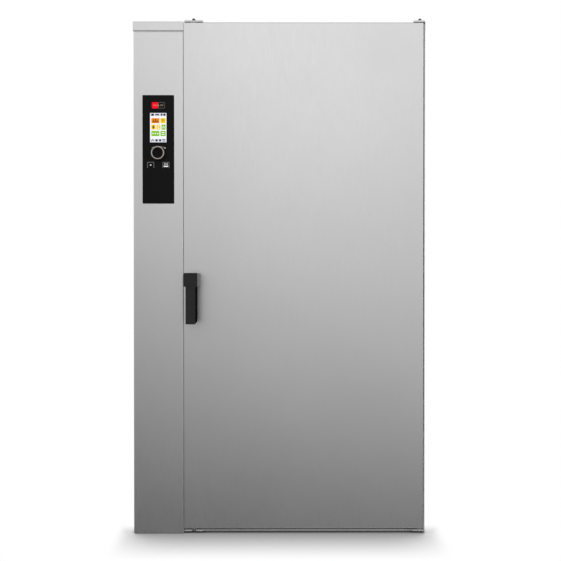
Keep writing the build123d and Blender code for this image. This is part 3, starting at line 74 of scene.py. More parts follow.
# Backdrop: how bright it looks in a reflection, by elevation in degrees and by side from -1 to 1
backdrop_levels = [
    (-90, 0.5), (-55, 0.38), (-32, 0.06), (-21, 0.02), (-17.5, 0.19), (-12.6, 0.475), (-5.9, 0.62),
    (0.9, 0.8), (7.7, 0.97), (14.3, 1.15), (22, 1.26), (34, 1.2), (50, 0.8), (62, 0.32), (90, 0.25),
]
backdrop_sides = [
    (-1.0, 1.0), (-0.5, 0.6), (-0.213, 0.58), (-0.154, 0.77), (-0.081, 0.99), (0.045, 1.04), (0.19, 0.93),
    (0.5, 0.95), (1.0, 1.1),
]
slant_reach = 0.08  # product of side and height at which the slant is full
slant_level = 0.16  # how much brighter the low right and the high left of the backdrop are
ambient_level = 0.55
plain_white = (1.0, 1.0, 1.0, 1.0)

# Soft lamps: name, place, side and watts
lamps = [
    ("softbox_left", (-2.6, -3.2, 2.9), 2.0, 75),
    ("softbox_right", (3.0, -2.6, 2.4), 2.2, 55),
    ("softbox_rear", (0.5, 3.4, 3.0), 2.4, 60),
]
lamp_aim = (0.0, 0.0, 1.0)

# Floor and its shadow
floor_half = 14.0
floor_tone = 0.8
shadow_reach = 0.24
shadow_power = 1.7
shadow_samples = 24
shadow_front = -0.52  # beside the object the shadow fades out between these two planes
shadow_back = -0.38
shadow_edge = (-0.01, 0.015)  # where that fade begins and ends, out from the object's side
shadow_side = 0.075  # everywhere, the shadow ends this far out from the object's side

# Printed and lit marks on the control glass
layer = 0.12 * MM
mark_sink = 0.05 * MM
key_w = 48 * MM
key_h = 23 * MM
key_r = 3 * MM
key_line = 1.2 * MM
key_drop = 38.3 * MM  # key's middle below the glass's top edge
key_text = 0.34  # letter size as a share of the key's height
key_lamp_r = 1.7 * MM
arc_r = 55 * MM
arc_half = 25 * MM
arc_rise = 26.6 * MM  # arc's top above the knob's middle
arc_line = 1.5 * MM
arc_dot_r = 1.9 * MM
touch_w = 23.5 * MM
touch_h = 21 * MM
touch_out = 28.5 * MM  # middle of a touch field from the knob's middle
touch_drop = 43.2 * MM
touch_line = 1.0 * MM
touch_dot_r = 2.4 * MM
tray_points = [(9, -2.5), (8, -7), (-8, -7), (-9, -2.5)]  # mm from the touch field's middle
steam_line = 1.8 * MM
steam_out = 5 * MM
steam_foot = 0.5 * MM
steam_top = 7 * MM

# Screen, in mm right of and below its top left corner
screen_border = 2.4
screen_r = 0.8
bar_inset = 0.5
bar_r = 0.6
top_bar_end = 12
foot_bar_rise = 13.5  # foot bar's top edge above the screen's lower edge
foot_bar_h = 13
tile_rows = (19, 43, 67)
tile_h = 19
tile_r = 1.6
tiles = {  # left edge, row and width of each coloured field
    "screen_orange": [(5, 0, 30)],
    "screen_yellow": [(39, 0, 19), (5, 1, 15), (24, 1, 15)],
    "screen_green": [(43, 1, 15), (5, 2, 30), (39, 2, 19)],
}
sign_r = 1.2
thin_stroke = 2.4
fine_stroke = 2.8
stroke = 3.0
bold_stroke = 3.2
tile_layer = 1  # the screen's white ground is layer 0
sign_layer = 2

# Hems and liner in the seams of the front
soft_edge = 0.3 * MM
hem_gap = 0.9 * MM  # clear of the column
hem_lap = 3.2 * MM  # reach beyond the door's edge
hem_front = 0.25 * MM
hem_back = 1.2 * MM
hem_end = 0.5 * MM
liner_proud = 0.2 * MM
liner_sunk = 0.1 * MM
liner_front = 0.3 * MM
liner_back = 20 * MM
liner_foot = 8 * MM
liner_top = 26 * MM
liner_soft = 0.1 * MM
rim_hem_h = 2.6 * MM
rim_hem_up = 1.2 * MM  # its middle above the column's top
rim_hem_end = 1 * MM
rim_hem_r = 0.4 * MM
rim_hem_front = 0.8 * MM
rim_hem_back = 2.5 * MM

# Blackened ends of pins and rods: share of the radius, and mm back from the tip
tip_dome = [(1.0, 3.0), (0.9, 1.4), (0.62, 0.4)]
tip_play = 0.04 * MM
tip_proud = 0.05 * MM
axis_r = 0.01 * MM  # radius of a closed end's middle

# Screw heads: radius and height
panel_head = (4.0 * MM, 2.2 * MM)
plate_head = (5.5 * MM, 3.0 * MM)
lamp_head = (3.0 * MM, 1.6 * MM)
lining_head = (3.4 * MM, 1.6 * MM)
baffle_head = (7.0 * MM, 4.0 * MM)
head_steps = 24
head_profile = [(0.0, 1.0), (0.3, 1.0), (0.72, 0.88), (1.0, 0.6)]  # shares of its height and radius
socket_w = 0.44
socket_floor = 0.35
sixth = math.pi / 3  # turn from one side of a hexagon socket to the next

# Rows of screws: distance in from the edges, and the widest spacing
panel_row = (13 * MM, 310 * MM)
rim_row = (45 * MM, 250 * MM)
lamp_row = (6 * MM, 140 * MM)
lining_row = (9 * MM, 300 * MM)
baffle_row = (120 * MM, 700 * MM)
baffle_edge = 12 * MM  # in from the baffle's free edge
plate_back = 25 * MM  # in from the rear edge of the hinge plates
hinge_left = 11 * MM
hinge_right = 13 * MM
keeper_side = 16 * MM
lamp_frame_h = 144 * MM

# Connections
bead_r = 1.2 * MM
bead_back = 3 * MM  # from a stub's end to its bead
bead_steps = 12
drain_r = 20 * MM
vent_r = 30 * MM
inlet_z = 300 * MM
thread_pitch = 1.8 * MM
thread_root = 12.6 * MM
thread_crest = 13.35 * MM
thread_long = 16 * MM
thread_bore = 10 * MM
thread_end = 0.2 * MM

# Ring heaters
wire_r = 4 * MM
loop_r = 172 * MM
bend_r = 8 * MM
bend_steps = 6
loop_steps = 90
lead_out = 15 * MM  # each lead from the middle of its element
strap_turns = (60, 180, 300)
strap_gap = 1.5 * MM
strap_t = 3 * MM
strap_w = 14 * MM
strap_r = 0.8 * MM
post_plate = (58 * MM, 32 * MM, 4 * MM)  # width, height and corner radius
post_plate_t = 3 * MM

# Knob: each profile point is mm in from a rim, or out from the bore or axis, and mm back from the front
knob_bore = 20.1 * MM
knob_edge = 0.6 * MM
knob_gap = 0.1 * MM
ring_rim = [(0, 2.4), (0.25, 1.2), (0.9, 0.3), (1.8, 0)]  # in from the ring's rim
ring_lip = [(1.3, 0), (0.5, 0.25), (0, 0.9)]  # out from the bore
middle_dish = [(0.01, 1.6), (6, 1.45), (11, 1.1), (15, 0.6), (18, 0.15)]  # out from the axis
middle_rim = [(0.9, 0), (0.25, 0.25), (0, 1.0)]  # in from the middle's rim
stem_r = 3.2 * MM
stem_mouth_r = 3.3 * MM
stem_depth = 3 * MM

# Handle
block_r = 4 * MM
block_soft = 0.8 * MM
cover_r = 4.5 * MM
cover_soft = 1.6 * MM
lever_w = 36 * MM
lever_r = 4.2 * MM
lever_face = 9 * MM  # depth of the lever's front part
lever_up = 2 * MM  # lever's hidden top above the block's lower edge
lever_heel = 5 * MM  # how much shorter the lever is at its back
lever_foot = [(3.2, 0), (1.5, 0.5), (0.5, 1.5), (0, 3.2)]  # mm above the lowest edge, and inset
core_lap = 3.5 * MM  # how far the near-black back part, painted shade for the lever's sides, reaches into the front part
core_shrink = 0.3 * MM
core_r = 3.4 * MM
neck_drop = 4 * MM
neck_slim = 5 * MM
neck_h = 16 * MM
neck_r = 2 * MM
neck_back = 6 * MM
neck_front = 2 * MM
neck_soft = 0.5 * MM
rim_steps = [(0.0, 1.0), (0.12, 0.62), (0.5, 0.18), (1.0, 0.0)]  # depth and inset of a softened rim
least_r = 0.3 * MM


# Shader nodes


def link(tree, source, target):
    tree.links.new(source, target)


def node(tree, kind, values=None, **settings):
    """A shader node with its socket values and settings."""
    made = tree.nodes.new(kind)
    for key, value in settings.items():
        setattr(made, key, value)
    for key, value in (values or {}).items():
        made.inputs[key].default_value = value
    return made


def set_or_link(tree, value, target):
    """Gives a socket its value, which is another socket or a plain number."""
    if isinstance(value, (int, float)):
        target.default_value = value
    else:
        link(tree, value, target)


def calculated(tree, operation, *inputs):
    """A Math node's result, from sockets and plain numbers."""
    made = node(tree, "ShaderNodeMath", operation=operation)
    for target, value in zip(made.inputs, inputs):
        set_or_link(tree, value, target)
    return made.outputs["Value"]


def mapped(tree, source, start, end, low=0.0, high=1.0, **settings):
    """A value that goes from low to high as its source goes from start to end."""
    ends = {"From Min": start, "From Max": end, "To Min": low, "To Max": high}
    made = node(tree, "ShaderNodeMapRange", ends, **settings)
    link(tree, source, made.inputs["Value"])
    return made.outputs["Result"]


def color_ramp(tree, source, stops):
    """A colour read from stops, each a place from 0 to 1 and a colour."""
    ramp = node(tree, "ShaderNodeValToRGB")
    for i, (place, color) in enumerate(stops):
        stop = ramp.color_ramp.elements[i] if i < 2 else ramp.color_ramp.elements.new(1.0)
        stop.position = place
        stop.color = (*color, 1.0)
    link(tree, source, ramp.inputs["Fac"])
    return ramp.outputs["Color"]


def mixed(tree, share, first, second):
    """Two shaders mixed."""
    made = node(tree, "ShaderNodeMixShader")
    link(tree, share, made.inputs["Fac"])
    link(tree, first, made.inputs[1])
    link(tree, second, made.inputs[2])
    return made.outputs["Shader"]


def coordinates(tree, kind):
    """The X, Y and Z of the shaded point or direction."""
    place = node(tree, "ShaderNodeTexCoord")
    split = node(tree, "ShaderNodeSeparateXYZ")
    link(tree, place.outputs[kind], split.inputs["Vector"])
    return split.outputs


def noise(tree, scale, detail=3.0, rough=0.5, stretch=(1, 1, 1)):
    """Noise in the piece's own coordinates, stretched along one axis for a grain."""
    place = node(tree, "ShaderNodeTexCoord")
    mapping = node(tree, "ShaderNodeMapping", {"Scale": stretch})
    texture = node(tree, "ShaderNodeTexNoise", {"Scale": scale, "Detail": detail, "Roughness": rough})
    link(tree, place.outputs["Object"], mapping.inputs["Vector"])
    link(tree, mapping.outputs["Vector"], texture.inputs["Vector"])
    return texture.outputs["Fac"]


# Materials

noise_low = 0.3  # most of a noise lies between these two
noise_high = 0.7


def shade(color, share):
    """A darker or lighter tone of a colour."""
    return tuple(min(c * share, 1.0) for c in color)


def start_material(name, color, rough, metal=0.0, **more):
    """A material with plain values on its shader, to add nodes to."""
    material = bpy.data.materials.new(name)
    material.use_nodes = True
    tree = material.node_tree
    shader = tree.nodes["Principled BSDF"]
    shader.inputs["Base Color"].default_value = (*color, 1.0)
    shader.inputs["Roughness"].default_value = rough
    shader.inputs["Metallic"].default_value = metal
    for key, value in more.items():
        shader.inputs[key.replace("_", " ")].default_value = value
    return material, tree, shader


def tint(tree, source, shader, dark, light, start=noise_low, end=noise_high):
    """Base colour between two tones that follows a noise."""
    color = color_ramp(tree, source, [(start, dark), (end, light)])
    link(tree, color, shader.inputs["Base Color"])


def roughen(tree, source, shader, low, high):
    """Roughness between two values that follows a noise."""
    rough = mapped(tree, source, noise_low, noise_high, low, high)
    link(tree, rough, shader.inputs["Roughness"])


def bump(tree, source, shader, depth, strength):
    """Relief that follows a noise."""
    relief = node(tree, "ShaderNodeBump", {"Strength": strength, "Distance": depth})
    link(tree, source, relief.inputs["Height"])
    link(tree, relief.outputs["Normal"], shader.inputs["Normal"])


def brushed_steel(name, tone, rough, grain, swing=0.06, metal=1.0, hue=(1.0, 1.0, 1.0)):
    """Stainless steel with a fine grain along one axis and a faint cloudiness."""
    color = tuple(tone * h for h in hue)
    material, tree, shader = start_material(name, color, rough, metal)
    across = 60.0
    stretch = [1.0 if axis == grain else across for axis in "xyz"]
    streaks = noise(tree, scale=22.0, detail=4.0, rough=0.62, stretch=stretch)
    clouds = noise(tree, scale=3.2, detail=2.0)
    tint(tree, clouds, shader, shade(color, 0.978), shade(color, 1.02), start=0.25, end=0.75)
    roughen(tree, streaks, shader, rough - swing, rough + swing)
    bump(tree, streaks, shader, depth=0.02 * MM, strength=0.35)
    return material


def cast_metal(name, color, rough, metal, scale, depth):
    """Painted or plated metal with a fine even relief."""
    material, tree, shader = start_material(name, color, rough, metal)
    fine = noise(tree, scale)
    soft = noise(tree, scale / 14, detail=2.0)
    tint(tree, soft, shader, shade(color, 0.9), shade(color, 1.08))
    roughen(tree, soft, shader, rough * 0.88, min(rough * 1.15, 1.0))
    bump(tree, fine, shader, depth, strength=0.5)
    return material


def moulded_plastic(name, color, rough, level=0.5, scale=900.0, depth=0.03 * MM):
    """Plastic with a spark-eroded mould grain."""
    material, tree, shader = start_material(name, color, rough, Specular_IOR_Level=level)
    grain = noise(tree, scale, detail=2.0)
    soft = noise(tree, scale=18.0, detail=2.0)
    tint(tree, soft, shader, shade(color, 0.88), shade(color, 1.1))
    roughen(tree, grain, shader, rough - 0.05, rough + 0.07)
    bump(tree, grain, shader, depth, strength=0.6)
    return material


def plain_glass(name, color, rough, level, transmission=0.0):
    """Glass with the faintest waviness and dust in its roughness."""
    sockets = {"Specular_IOR_Level": level, "Transmission_Weight": transmission}
    material, tree, shader = start_material(name, color, rough, **sockets)
    dust = noise(tree, scale=40.0, detail=5.0, rough=0.7)
    roughen(tree, dust, shader, rough * 0.7, rough * 1.6)
    wave = noise(tree, scale=9.0, detail=1.0)
    bump(tree, wave, shader, depth=0.01 * MM, strength=0.2)
    return material


def wool(name, color):
    """Loose mineral wool with long soft fibres."""
    material, tree, shader = start_material(name, color, rough=0.95)
    fibres = noise(tree, scale=60.0, detail=6.0, rough=0.7, stretch=(1, 1, 9))
    tint(tree, fibres, shader, shade(color, 0.6), shade(color, 1.2))
    bump(tree, fibres, shader, depth=1.2 * MM, strength=0.9)
    return material


def circuit_lacquer(name, color):
    """Green lacquer over faint copper tracks."""
    material, tree, shader = start_material(name, color, rough=0.35)
    place = node(tree, "ShaderNodeTexCoord")
    bricks = node(tree, "ShaderNodeTexBrick", {
        "Scale": 130.0,
        "Mortar Size": 0.03,
        "Brick Width": 0.9,
        "Color1": (*color, 1.0),
        "Color2": (color[0] * 0.8, color[1] * 0.85, color[2] * 0.8, 1.0),
        "Mortar": (0.10, 0.24, 0.10, 1.0),
    })
    link(tree, place.outputs["Object"], bricks.inputs["Vector"])
    link(tree, bricks.outputs["Color"], shader.inputs["Base Color"])
    bump(tree, bricks.outputs["Fac"], shader, depth=0.05 * MM, strength=0.4)
    return material


def lit_color(name, color):
    """A mark that glows with its own colour whatever the lamps: real light for backlit marks, painted light
    for marks that are only print.
    """
    sockets = {"Specular_IOR_Level": 0.1, "Emission_Strength": 1.0}
    material, tree, shader = start_material(name, (0.0, 0.0, 0.0), rough=0.5, **sockets)
    pixels = noise(tree, scale=2200.0, detail=0.0)
    glow = color_ramp(tree, pixels, [(0.0, shade(color, 0.94)), (1.0, shade(color, 1.03))])
    link(tree, glow, shader.inputs["Emission Color"])
    return material


# Brushed steel: tone, roughness, axis of the grain, swing of the roughness, metalness, hue
steels = {
    "outer_steel": (0.72, 0.33, "z"),
    "chamber_steel": (0.68, 0.26, "x"),
    "machined_steel": (0.66, 0.24, "z", 0.04),
    "knob_metal": (0.44, 0.28, "y", 0.05, 1.0, (1.0, 0.95, 0.84)),
    "plate_steel": (0.7, 0.45, "x", 0.05, 0.85),
    "seam_steel": (0.62, 0.4, "z", 0.05, 0.5),
}
# Painted, cast or plated metal: colour, roughness, metalness, scale and depth of the relief
cast_metals = {
    "galvanised_sheet": ((0.46, 0.47, 0.48), 0.5, 0.9, 260.0, 0.03 * MM),
    "zinc_steel": ((0.52, 0.53, 0.54), 0.34, 1.0, 600.0, 0.02 * MM),
    "heater_sheath": ((0.075, 0.062, 0.055), 0.45, 0.7, 500.0, 0.03 * MM),
    "motor_paint": ((0.035, 0.04, 0.045), 0.45, 0.0, 300.0, 0.05 * MM),
    "grey_casting": ((0.155, 0.158, 0.16), 0.5, 0.2, 420.0, 0.04 * MM),
    "copper_pipe": ((0.62, 0.30, 0.16), 0.3, 1.0, 300.0, 0.02 * MM),
    "brass_fitting": ((0.56, 0.42, 0.17), 0.3, 1.0, 400.0, 0.02 * MM),
    "blackened_steel": ((0.03, 0.03, 0.032), 0.45, 0.6, 500.0, 0.02 * MM),
}
# Plastic and rubber: colour, roughness, specular level, scale and depth of the grain
plastics = {
    "knob_dark": ((0.004, 0.004, 0.0045), 0.5, 0.05),
    "silicone": ((0.035, 0.037, 0.04), 0.62, 0.35, 500.0, 0.04 * MM),
    "dark_plastic": ((0.008, 0.008, 0.009), 0.42, 0.15),
    "grip_plastic": ((0.022, 0.022, 0.023), 0.6, 0.03),
    "device_plastic": ((0.60, 0.59, 0.54), 0.5),
    "bush_plastic": ((0.13, 0.13, 0.125), 0.5),
    "pale_liner": ((0.93, 0.93, 0.92), 0.5),
    # Near-black plastic without sheen: painted shade for the shaded sides of the lever
    "dull_grip": ((0.004, 0.004, 0.004), 0.9, 0.0),
}
# Glass: colour, roughness, specular level, transmission
glasses = {
    "black_glass": ((0.0042, 0.0042, 0.0045), 0.08, 0.075),
    "display_glass": ((0.015, 0.018, 0.022), 0.12, 0.5),
    "clear_glass": ((0.93, 0.96, 0.96), 0.03, 0.5, 0.9),
}
tables = [
    (brushed_steel, steels),
    (cast_metal, cast_metals),
    (moulded_plastic, plastics),
    (plain_glass, glasses),
]
finishes = {name: make(name, *values) for make, table in tables for name, values in table.items()}
finishes["mineral_wool"] = wool("mineral_wool", (0.56, 0.48, 0.26))
finishes["circuit_board"] = circuit_lacquer("circuit_board", (0.013, 0.10, 0.04))

# Lit and printed marks: colour. All of them glow, which on the printed ones is painted light
marks = {
    "screen_field": (0.97, 0.97, 0.98),
    "screen_bar": (0.78, 0.78, 0.88),
    "screen_dark": (0.012, 0.012, 0.016),
    "screen_yellow": (0.98, 0.62, 0.004),
    "screen_orange": (0.93, 0.26, 0.002),
    "screen_green": (0.22, 0.56, 0.002),
    "lamp_green": (0.12, 0.75, 0.18),
    "key_red": (0.92, 0.004, 0.02),
    "print_grey": (0.15, 0.15, 0.15),
    "print_line": (0.30, 0.30, 0.29),
    "print_white": (0.88, 0.88, 0.88),
    "print_ink": (0.42, 0.33, 0.27),
}
for name, color in marks.items():
    finishes[name] = lit_color(name, color)


def finish_nodes():
    """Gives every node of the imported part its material."""
    for entry in frame["record"]["subparts"]:
        mesh = frame["nodes"][entry["node"]].data
        mesh.materials.clear()
        mesh.materials.append(finishes[entry["material_slot"]])
    for name in ("hinge_plates", "keeper_plates"):
        frame["nodes"][name].data.materials[0] = finishes["plate_steel"]


# Studio


def placed(name, data):
    """A new object in the scene."""
    made = bpy.data.objects.new(name, data)
    bpy.context.scene.collection.objects.link(made)
    return made


def level_ramp(tree, source, stops):
    """A brightness read from stops, each a value of the source and a level."""
    low, high = stops[0][0], stops[-1][0]
    top = max(level for _, level in stops)
    greys = [((value - low) / (high - low), (level / top,) * 3) for value, level in stops]
    return calculated(tree, "MULTIPLY", color_ramp(tree, mapped(tree, source, low, high), greys), top)


def seen_plainly(tree, path):
    """1 for what the camera sees directly or through glass."""
    return calculated(tree, "MAXIMUM", path["Is Camera Ray"], path["Is Transmission Ray"])


def evenly_lit(tree, strength):
    """A white background of a strength, which is a socket or a plain number."""
    background = node(tree, "ShaderNodeBackground", {"Color": plain_white})
    set_or_link(tree, strength, background.inputs["Strength"])
    return background.outputs["Background"]


def backdrop_level(tree):
    """Brightness of the backdrop in a reflection: by height, by side, and with a slant."""
    way = coordinates(tree, "Generated")
    side, height = way["X"], way["Z"]
    degrees = calculated(tree, "DEGREES", calculated(tree, "ARCSINE", height))
    upright = level_ramp(tree, degrees, backdrop_levels)
    across = level_ramp(tree, side, backdrop_sides)
    even = calculated(tree, "MULTIPLY", upright, across)
    corner = calculated(tree, "MULTIPLY", side, height)
    slant = mapped(tree, corner, -slant_reach, slant_reach, 1 + slant_level, 1 - slant_level)
    return calculated(tree, "MULTIPLY", even, slant)


def world_light():
    """White behind the object, a graded backdrop in reflections, and an even light on the rest."""
    world = bpy.data.worlds.new("studio")
    bpy.context.scene.world = world
    world.use_nodes = True
    world.cycles.sampling_method = "NONE"
    tree = world.node_tree
    tree.nodes.clear()
    path = node(tree, "ShaderNodeLightPath").outputs
    reflected = evenly_lit(tree, backdrop_level(tree))
    unseen = mixed(tree, path["Is Glossy Ray"], evenly_lit(tree, ambient_level), reflected)
    whole = mixed(tree, seen_plainly(tree, path), unseen, evenly_lit(tree, 1.0))
    output = node(tree, "ShaderNodeOutputWorld")
    link(tree, whole, output.inputs["Surface"])


def fade(tree, source, low, high):
    """A soft step from 0 to 1 between two values."""
    return mapped(tree, source, low, high, interpolation_type="SMOOTHSTEP")


def shadow_cut(tree):
    """1 where the floor keeps no shadow: beside the object behind its front, and far out from its sides."""
    spot = coordinates(tree, "Object")
    aside = calculated(tree, "ABSOLUTE", spot["X"])
    half = cad_bounds[1][0]
    behind = fade(tree, spot["Y"], shadow_front, shadow_back)
    beside = fade(tree, aside, half + shadow_edge[0], half + shadow_edge[1])
    far = fade(tree, aside, half, half + shadow_side)
    return calculated(tree, "MAXIMUM", calculated(tree, "MULTIPLY", behind, beside), far)


def floor_material():
    """Pale floor that shows white to the camera apart from the shadow close to the object."""
    material, tree, shader = start_material("studio_floor", (floor_tone,) * 3, rough=0.9)
    path = node(tree, "ShaderNodeLightPath").outputs
    near = node(tree, "ShaderNodeAmbientOcclusion", {"Distance": shadow_reach}, samples=shadow_samples)
    shadow = calculated(tree, "POWER", near.outputs["AO"], shadow_power)
    lit = node(tree, "ShaderNodeMix", {"B": 1.0})
    link(tree, shadow_cut(tree), lit.inputs["Factor"])
    link(tree, shadow, lit.inputs["A"])
    glow = node(tree, "ShaderNodeEmission", {"Color": plain_white})
    link(tree, lit.outputs["Result"], glow.inputs["Strength"])
    whole = mixed(tree, seen_plainly(tree, path), shader.outputs["BSDF"], glow.outputs["Emission"])
    link(tree, whole, tree.nodes["Material Output"].inputs["Surface"])
    return material


def studio_floor():
    """A large floor under the object, out of its reflections."""
    mesh = bpy.data.meshes.new("studio_floor")
    h = floor_half
    mesh.from_pydata([(-h, -h, 0), (h, -h, 0), (h, h, 0), (-h, h, 0)], [], [(0, 1, 2, 3)])
    floor = placed("studio_floor", mesh)
    mesh.materials.append(floor_material())
    floor.visible_glossy = False


def softbox(name, place, size, power):
    """A large soft lamp that the steel doesn't mirror."""
    lamp = bpy.data.lights.new(name, "AREA")
    lamp.size = size
    lamp.energy = power
    holder = placed(name, lamp)
    holder.location = place
    holder.rotation_euler = (Vector(lamp_aim) - Vector(place)).to_track_quat("-Z", "Y").to_euler()
    holder.visible_glossy = False


def studio_lights():
    for lamp in lamps:
        softbox(*lamp)


def photo_camera():
    """The photograph's view from the front."""
    lens = bpy.data.cameras.new("camera")
    lens.sensor_width = camera_sensor
    lens.lens = camera_lens
    camera = placed("camera", lens)
    camera.location = camera_place
    camera.rotation_euler = (math.radians(90 + camera_pitch), 0.0, math.radians(camera_yaw))
    bpy.context.scene.camera = camera


# Outlines and shapes


def rounded(x, z, w, h, r, steps=6):
    """Corner points of a rounded rectangle, anticlockwise."""
    points = []
    for turn, (sx, sz) in enumerate(((1, 1), (-1, 1), (-1, -1), (1, -1))):
        cx, cz = x + sx * (w / 2 - r), z + sz * (h / 2 - r)
        for i in range(steps + 1):
            angle = math.pi / 2 * (turn + i / steps)
            points.append((cx + r * math.cos(angle), cz + r * math.sin(angle)))
    return points


def circle(x, z, r, steps=28):
    return [(x + r * math.cos(a), z + r * math.sin(a)) for a in (math.tau * i / steps for i in range(steps))]


def arc(x, z, r, start, end, steps=24):
    angles = (math.radians(start + (end - start) * i / steps) for i in range(steps + 1))
    return [(x + r * math.cos(a), z + r * math.sin(a)) for a in angles]


def facing(u, v, level):
    """Outlines drawn as seen from the front, stacked along Y."""
    return (u, level, v)


def lying(u, v, level):
    """Outlines drawn as seen from above, stacked along Z."""
    return (u, v, level)


def sideways(u, v, level):
    """Outlines drawn as seen from the side, stacked along X."""
    return (level, u, v)


stacked = {"x": sideways, "y": facing, "z": lying}


def middle(box, axis):
    """Half way between a box's two sides along an axis."""
    low, high = (getattr(corner, axis) for corner in box)
    return (low + high) / 2


def together(shapes):
    """Several shapes as one."""
    vertices, faces = [], []
    for more_vertices, more_faces in shapes:
        base = len(vertices)
        vertices += more_vertices
        faces += [tuple(base + i for i in face) for face in more_faces]
    return vertices, faces


def loft(levels, place):
    """A closed skin over outlines of equal length; place(u, v, level) gives each point in space."""
    count = len(levels[0][1])
    vertices = [place(u, v, level) for level, outline in levels for u, v in outline]
    faces = [tuple(range(count)), tuple(range(len(vertices) - count, len(vertices)))]
    for ring in range(len(levels) - 1):
        for i in range(count):
            a, b = ring * count + i, ring * count + (i + 1) % count
            faces.append((a, b, b + count, a + count))
    return vertices, faces


def slab(outline, y0, y1):
    return loft([(y0, outline), (y1, outline)], facing)


def band(points, width, y0, y1, closed=False):
    """A line of even width along points, drawn as seen from the front."""
    sides = ([], [])
    last = len(points) - 1
    for i, (x, z) in enumerate(points):
        before = points[i - 1] if closed or i > 0 else points[i]
        after = points[(i + 1) % len(points)] if closed or i < last else points[i]
        dx, dz = after[0] - before[0], after[1] - before[1]
        length = math.hypot(dx, dz)
        nx, nz = -dz / length * width / 2, dx / length * width / 2
        sides[0].append((x + nx, z + nz))
        sides[1].append((x - nx, z - nz))
    if not closed:
        return slab(sides[0] + sides[1][::-1], y0, y1)
    spans = []
    for i in range(len(points)):
        j = (i + 1) % len(points)
        spans.append(slab([sides[0][i], sides[0][j], sides[1][j], sides[1][i]], y0, y1))
    return together(spans)


def revolve(profile, centre, steps=96, along="y"):
    """A closed ring of profile points (radius, place along the axis) round an axis through centre."""
    vertices, faces = [], []
    count = len(profile)
    for i in range(steps):
        angle = math.tau * i / steps
        for r, at in profile:
            spot = stacked[along](r * math.cos(angle), r * math.sin(angle), at)
            vertices.append(tuple(c + s for c, s in zip(centre, spot)))
    for i in range(steps):
        j = (i + 1) % steps
        for k in range(count):
            m = (k + 1) % count
            faces.append((i * count + k, i * count + m, j * count + m, j * count + k))
    return vertices, faces


def tube(points, r, sides=14):
    """A round tube along points, closed at both ends."""
    rings = []
    up = Vector((0.31, 0.17, 0.93))
    for i, point in enumerate(points):
        before = Vector(points[max(i - 1, 0)])
        after = Vector(points[min(i + 1, len(points) - 1)])
        way = (after - before).normalized()
        up = (up - way * up.dot(way)).normalized()
        side = way.cross(up)
        turns = (math.tau * k / sides for k in range(sides))
        ring = [Vector(point) + up * (r * math.cos(t)) + side * (r * math.sin(t)) for t in turns]
        rings.append([tuple(corner) for corner in ring])
    vertices = [corner for ring in rings for corner in ring]
    faces = [tuple(range(sides)), tuple(range(len(vertices) - sides, len(vertices)))]
    for i in range(len(rings) - 1):
        for k in range(sides):
            a, b = i * sides + k, i * sides + (k + 1) % sides
            faces.append((a, b, b + sides, a + sides))
    return vertices, faces


def softened(u, v, w, h, r, start, end, soft):
    """Levels of a block with rounded corners and softened rims at both ends."""
    steps = [(depth * soft, inset * soft) for depth, inset in rim_steps]
    way = 1 if end > start else -1
    levels = [(start + way * depth, inset) for depth, inset in steps]
    levels += [(end - way * depth, inset) for depth, inset in reversed(steps)]
    return [(at, rounded(u, v, w - 2 * i, h - 2 * i, max(r - i, least_r))) for at, i in levels]


def letters(text, x, z, height, y0, y1):
    """Plain lettering as a shape, drawn as seen from the front."""
    curve = bpy.data.curves.new(text, "FONT")
    curve.body = text
    curve.size = height
    curve.align_x = "CENTER"
    curve.align_y = "CENTER"
    curve.extrude = (y1 - y0) / 2
    holder = placed(text, curve)
    mesh = bpy.data.meshes.new_from_object(holder)
    bpy.data.objects.remove(holder)
    centre = (y0 + y1) / 2
    vertices = [(x + v.co.x, centre - v.co.z, z + v.co.y) for v in mesh.vertices]
    return vertices, [tuple(face.vertices) for face in mesh.polygons]


def shaped(name, shape, finish, body, replaced=(), crease=32):
    """A piece from vertices and faces, smooth apart from its creases, that rides on a body."""
    vertices, faces = shape
    mesh = bpy.data.meshes.new(name)
    mesh.from_pydata(vertices, [], faces)
    work = bmesh.new()
    work.from_mesh(mesh)
    bmesh.ops.recalc_face_normals(work, faces=work.faces)
    work.to_mesh(mesh)
    work.free()
    mesh.polygons.foreach_set("use_smooth", [True] * len(mesh.polygons))
    mesh.set_sharp_from_angle(angle=math.radians(crease))
    mesh.materials.append(finishes[finish])
    made = placed(name, mesh)
    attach(made, body)
    if replaced:
        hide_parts(*replaced)


# Marks on the control glass


def mark(name, color, shapes):
    """Printed or lit marks on the glass, in one colour."""
    shaped(name, together(shapes), color, "cabinet")


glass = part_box("control_glass")
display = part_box("display_module")
screen_left = display[0].x + screen_border * MM
screen_top = display[1].z - screen_border * MM
screen_w = (display[1].x - screen_border * MM - screen_left) / MM
screen_h = (screen_top - display[0].z - screen_border * MM) / MM


def on_screen(u, v):
    return screen_left + u * MM, screen_top - v * MM


def layer_span(step):
    """Front and back of one of the thin layers that the screen's picture is made of."""
    return glass[0].y - layer * (step + 1), glass[0].y - layer * step + mark_sink


def field(u0, v0, u1, v1, r, step):
    """A rounded field between its left, top, right and lower edges."""
    (xa, za), (xb, zb) = on_screen(u0, v0), on_screen(u1, v1)
    return slab(rounded((xa + xb) / 2, (za + zb) / 2, xb - xa, za - zb, r * MM), *layer_span(step))


def dot(u, v, r):
    return slab(circle(*on_screen(u, v), r * MM), *layer_span(sign_layer))


def line(points, width, closed=False):
    return band([on_screen(u, v) for u, v in points], width * MM, *layer_span(sign_layer), closed)


def upright_line(u, v0, v1, width):
    return line([(u, v0), (u, v1)], width)


def level_line(u0, u1, v, width):
    return line([(u0, v), (u1, v)], width)


def top_bar_signs():
    """A tall block, a flat one and two round signs."""
    return [
        field(4.5, 2.6, 14.5, 10.4, tile_r, sign_layer),
        field(19, 4.0, 34, 8.8, sign_r, sign_layer),
        dot(screen_w - 18, 6.4, 4.0),
        dot(screen_w - 7.5, 6.4, 4.4),
    ]


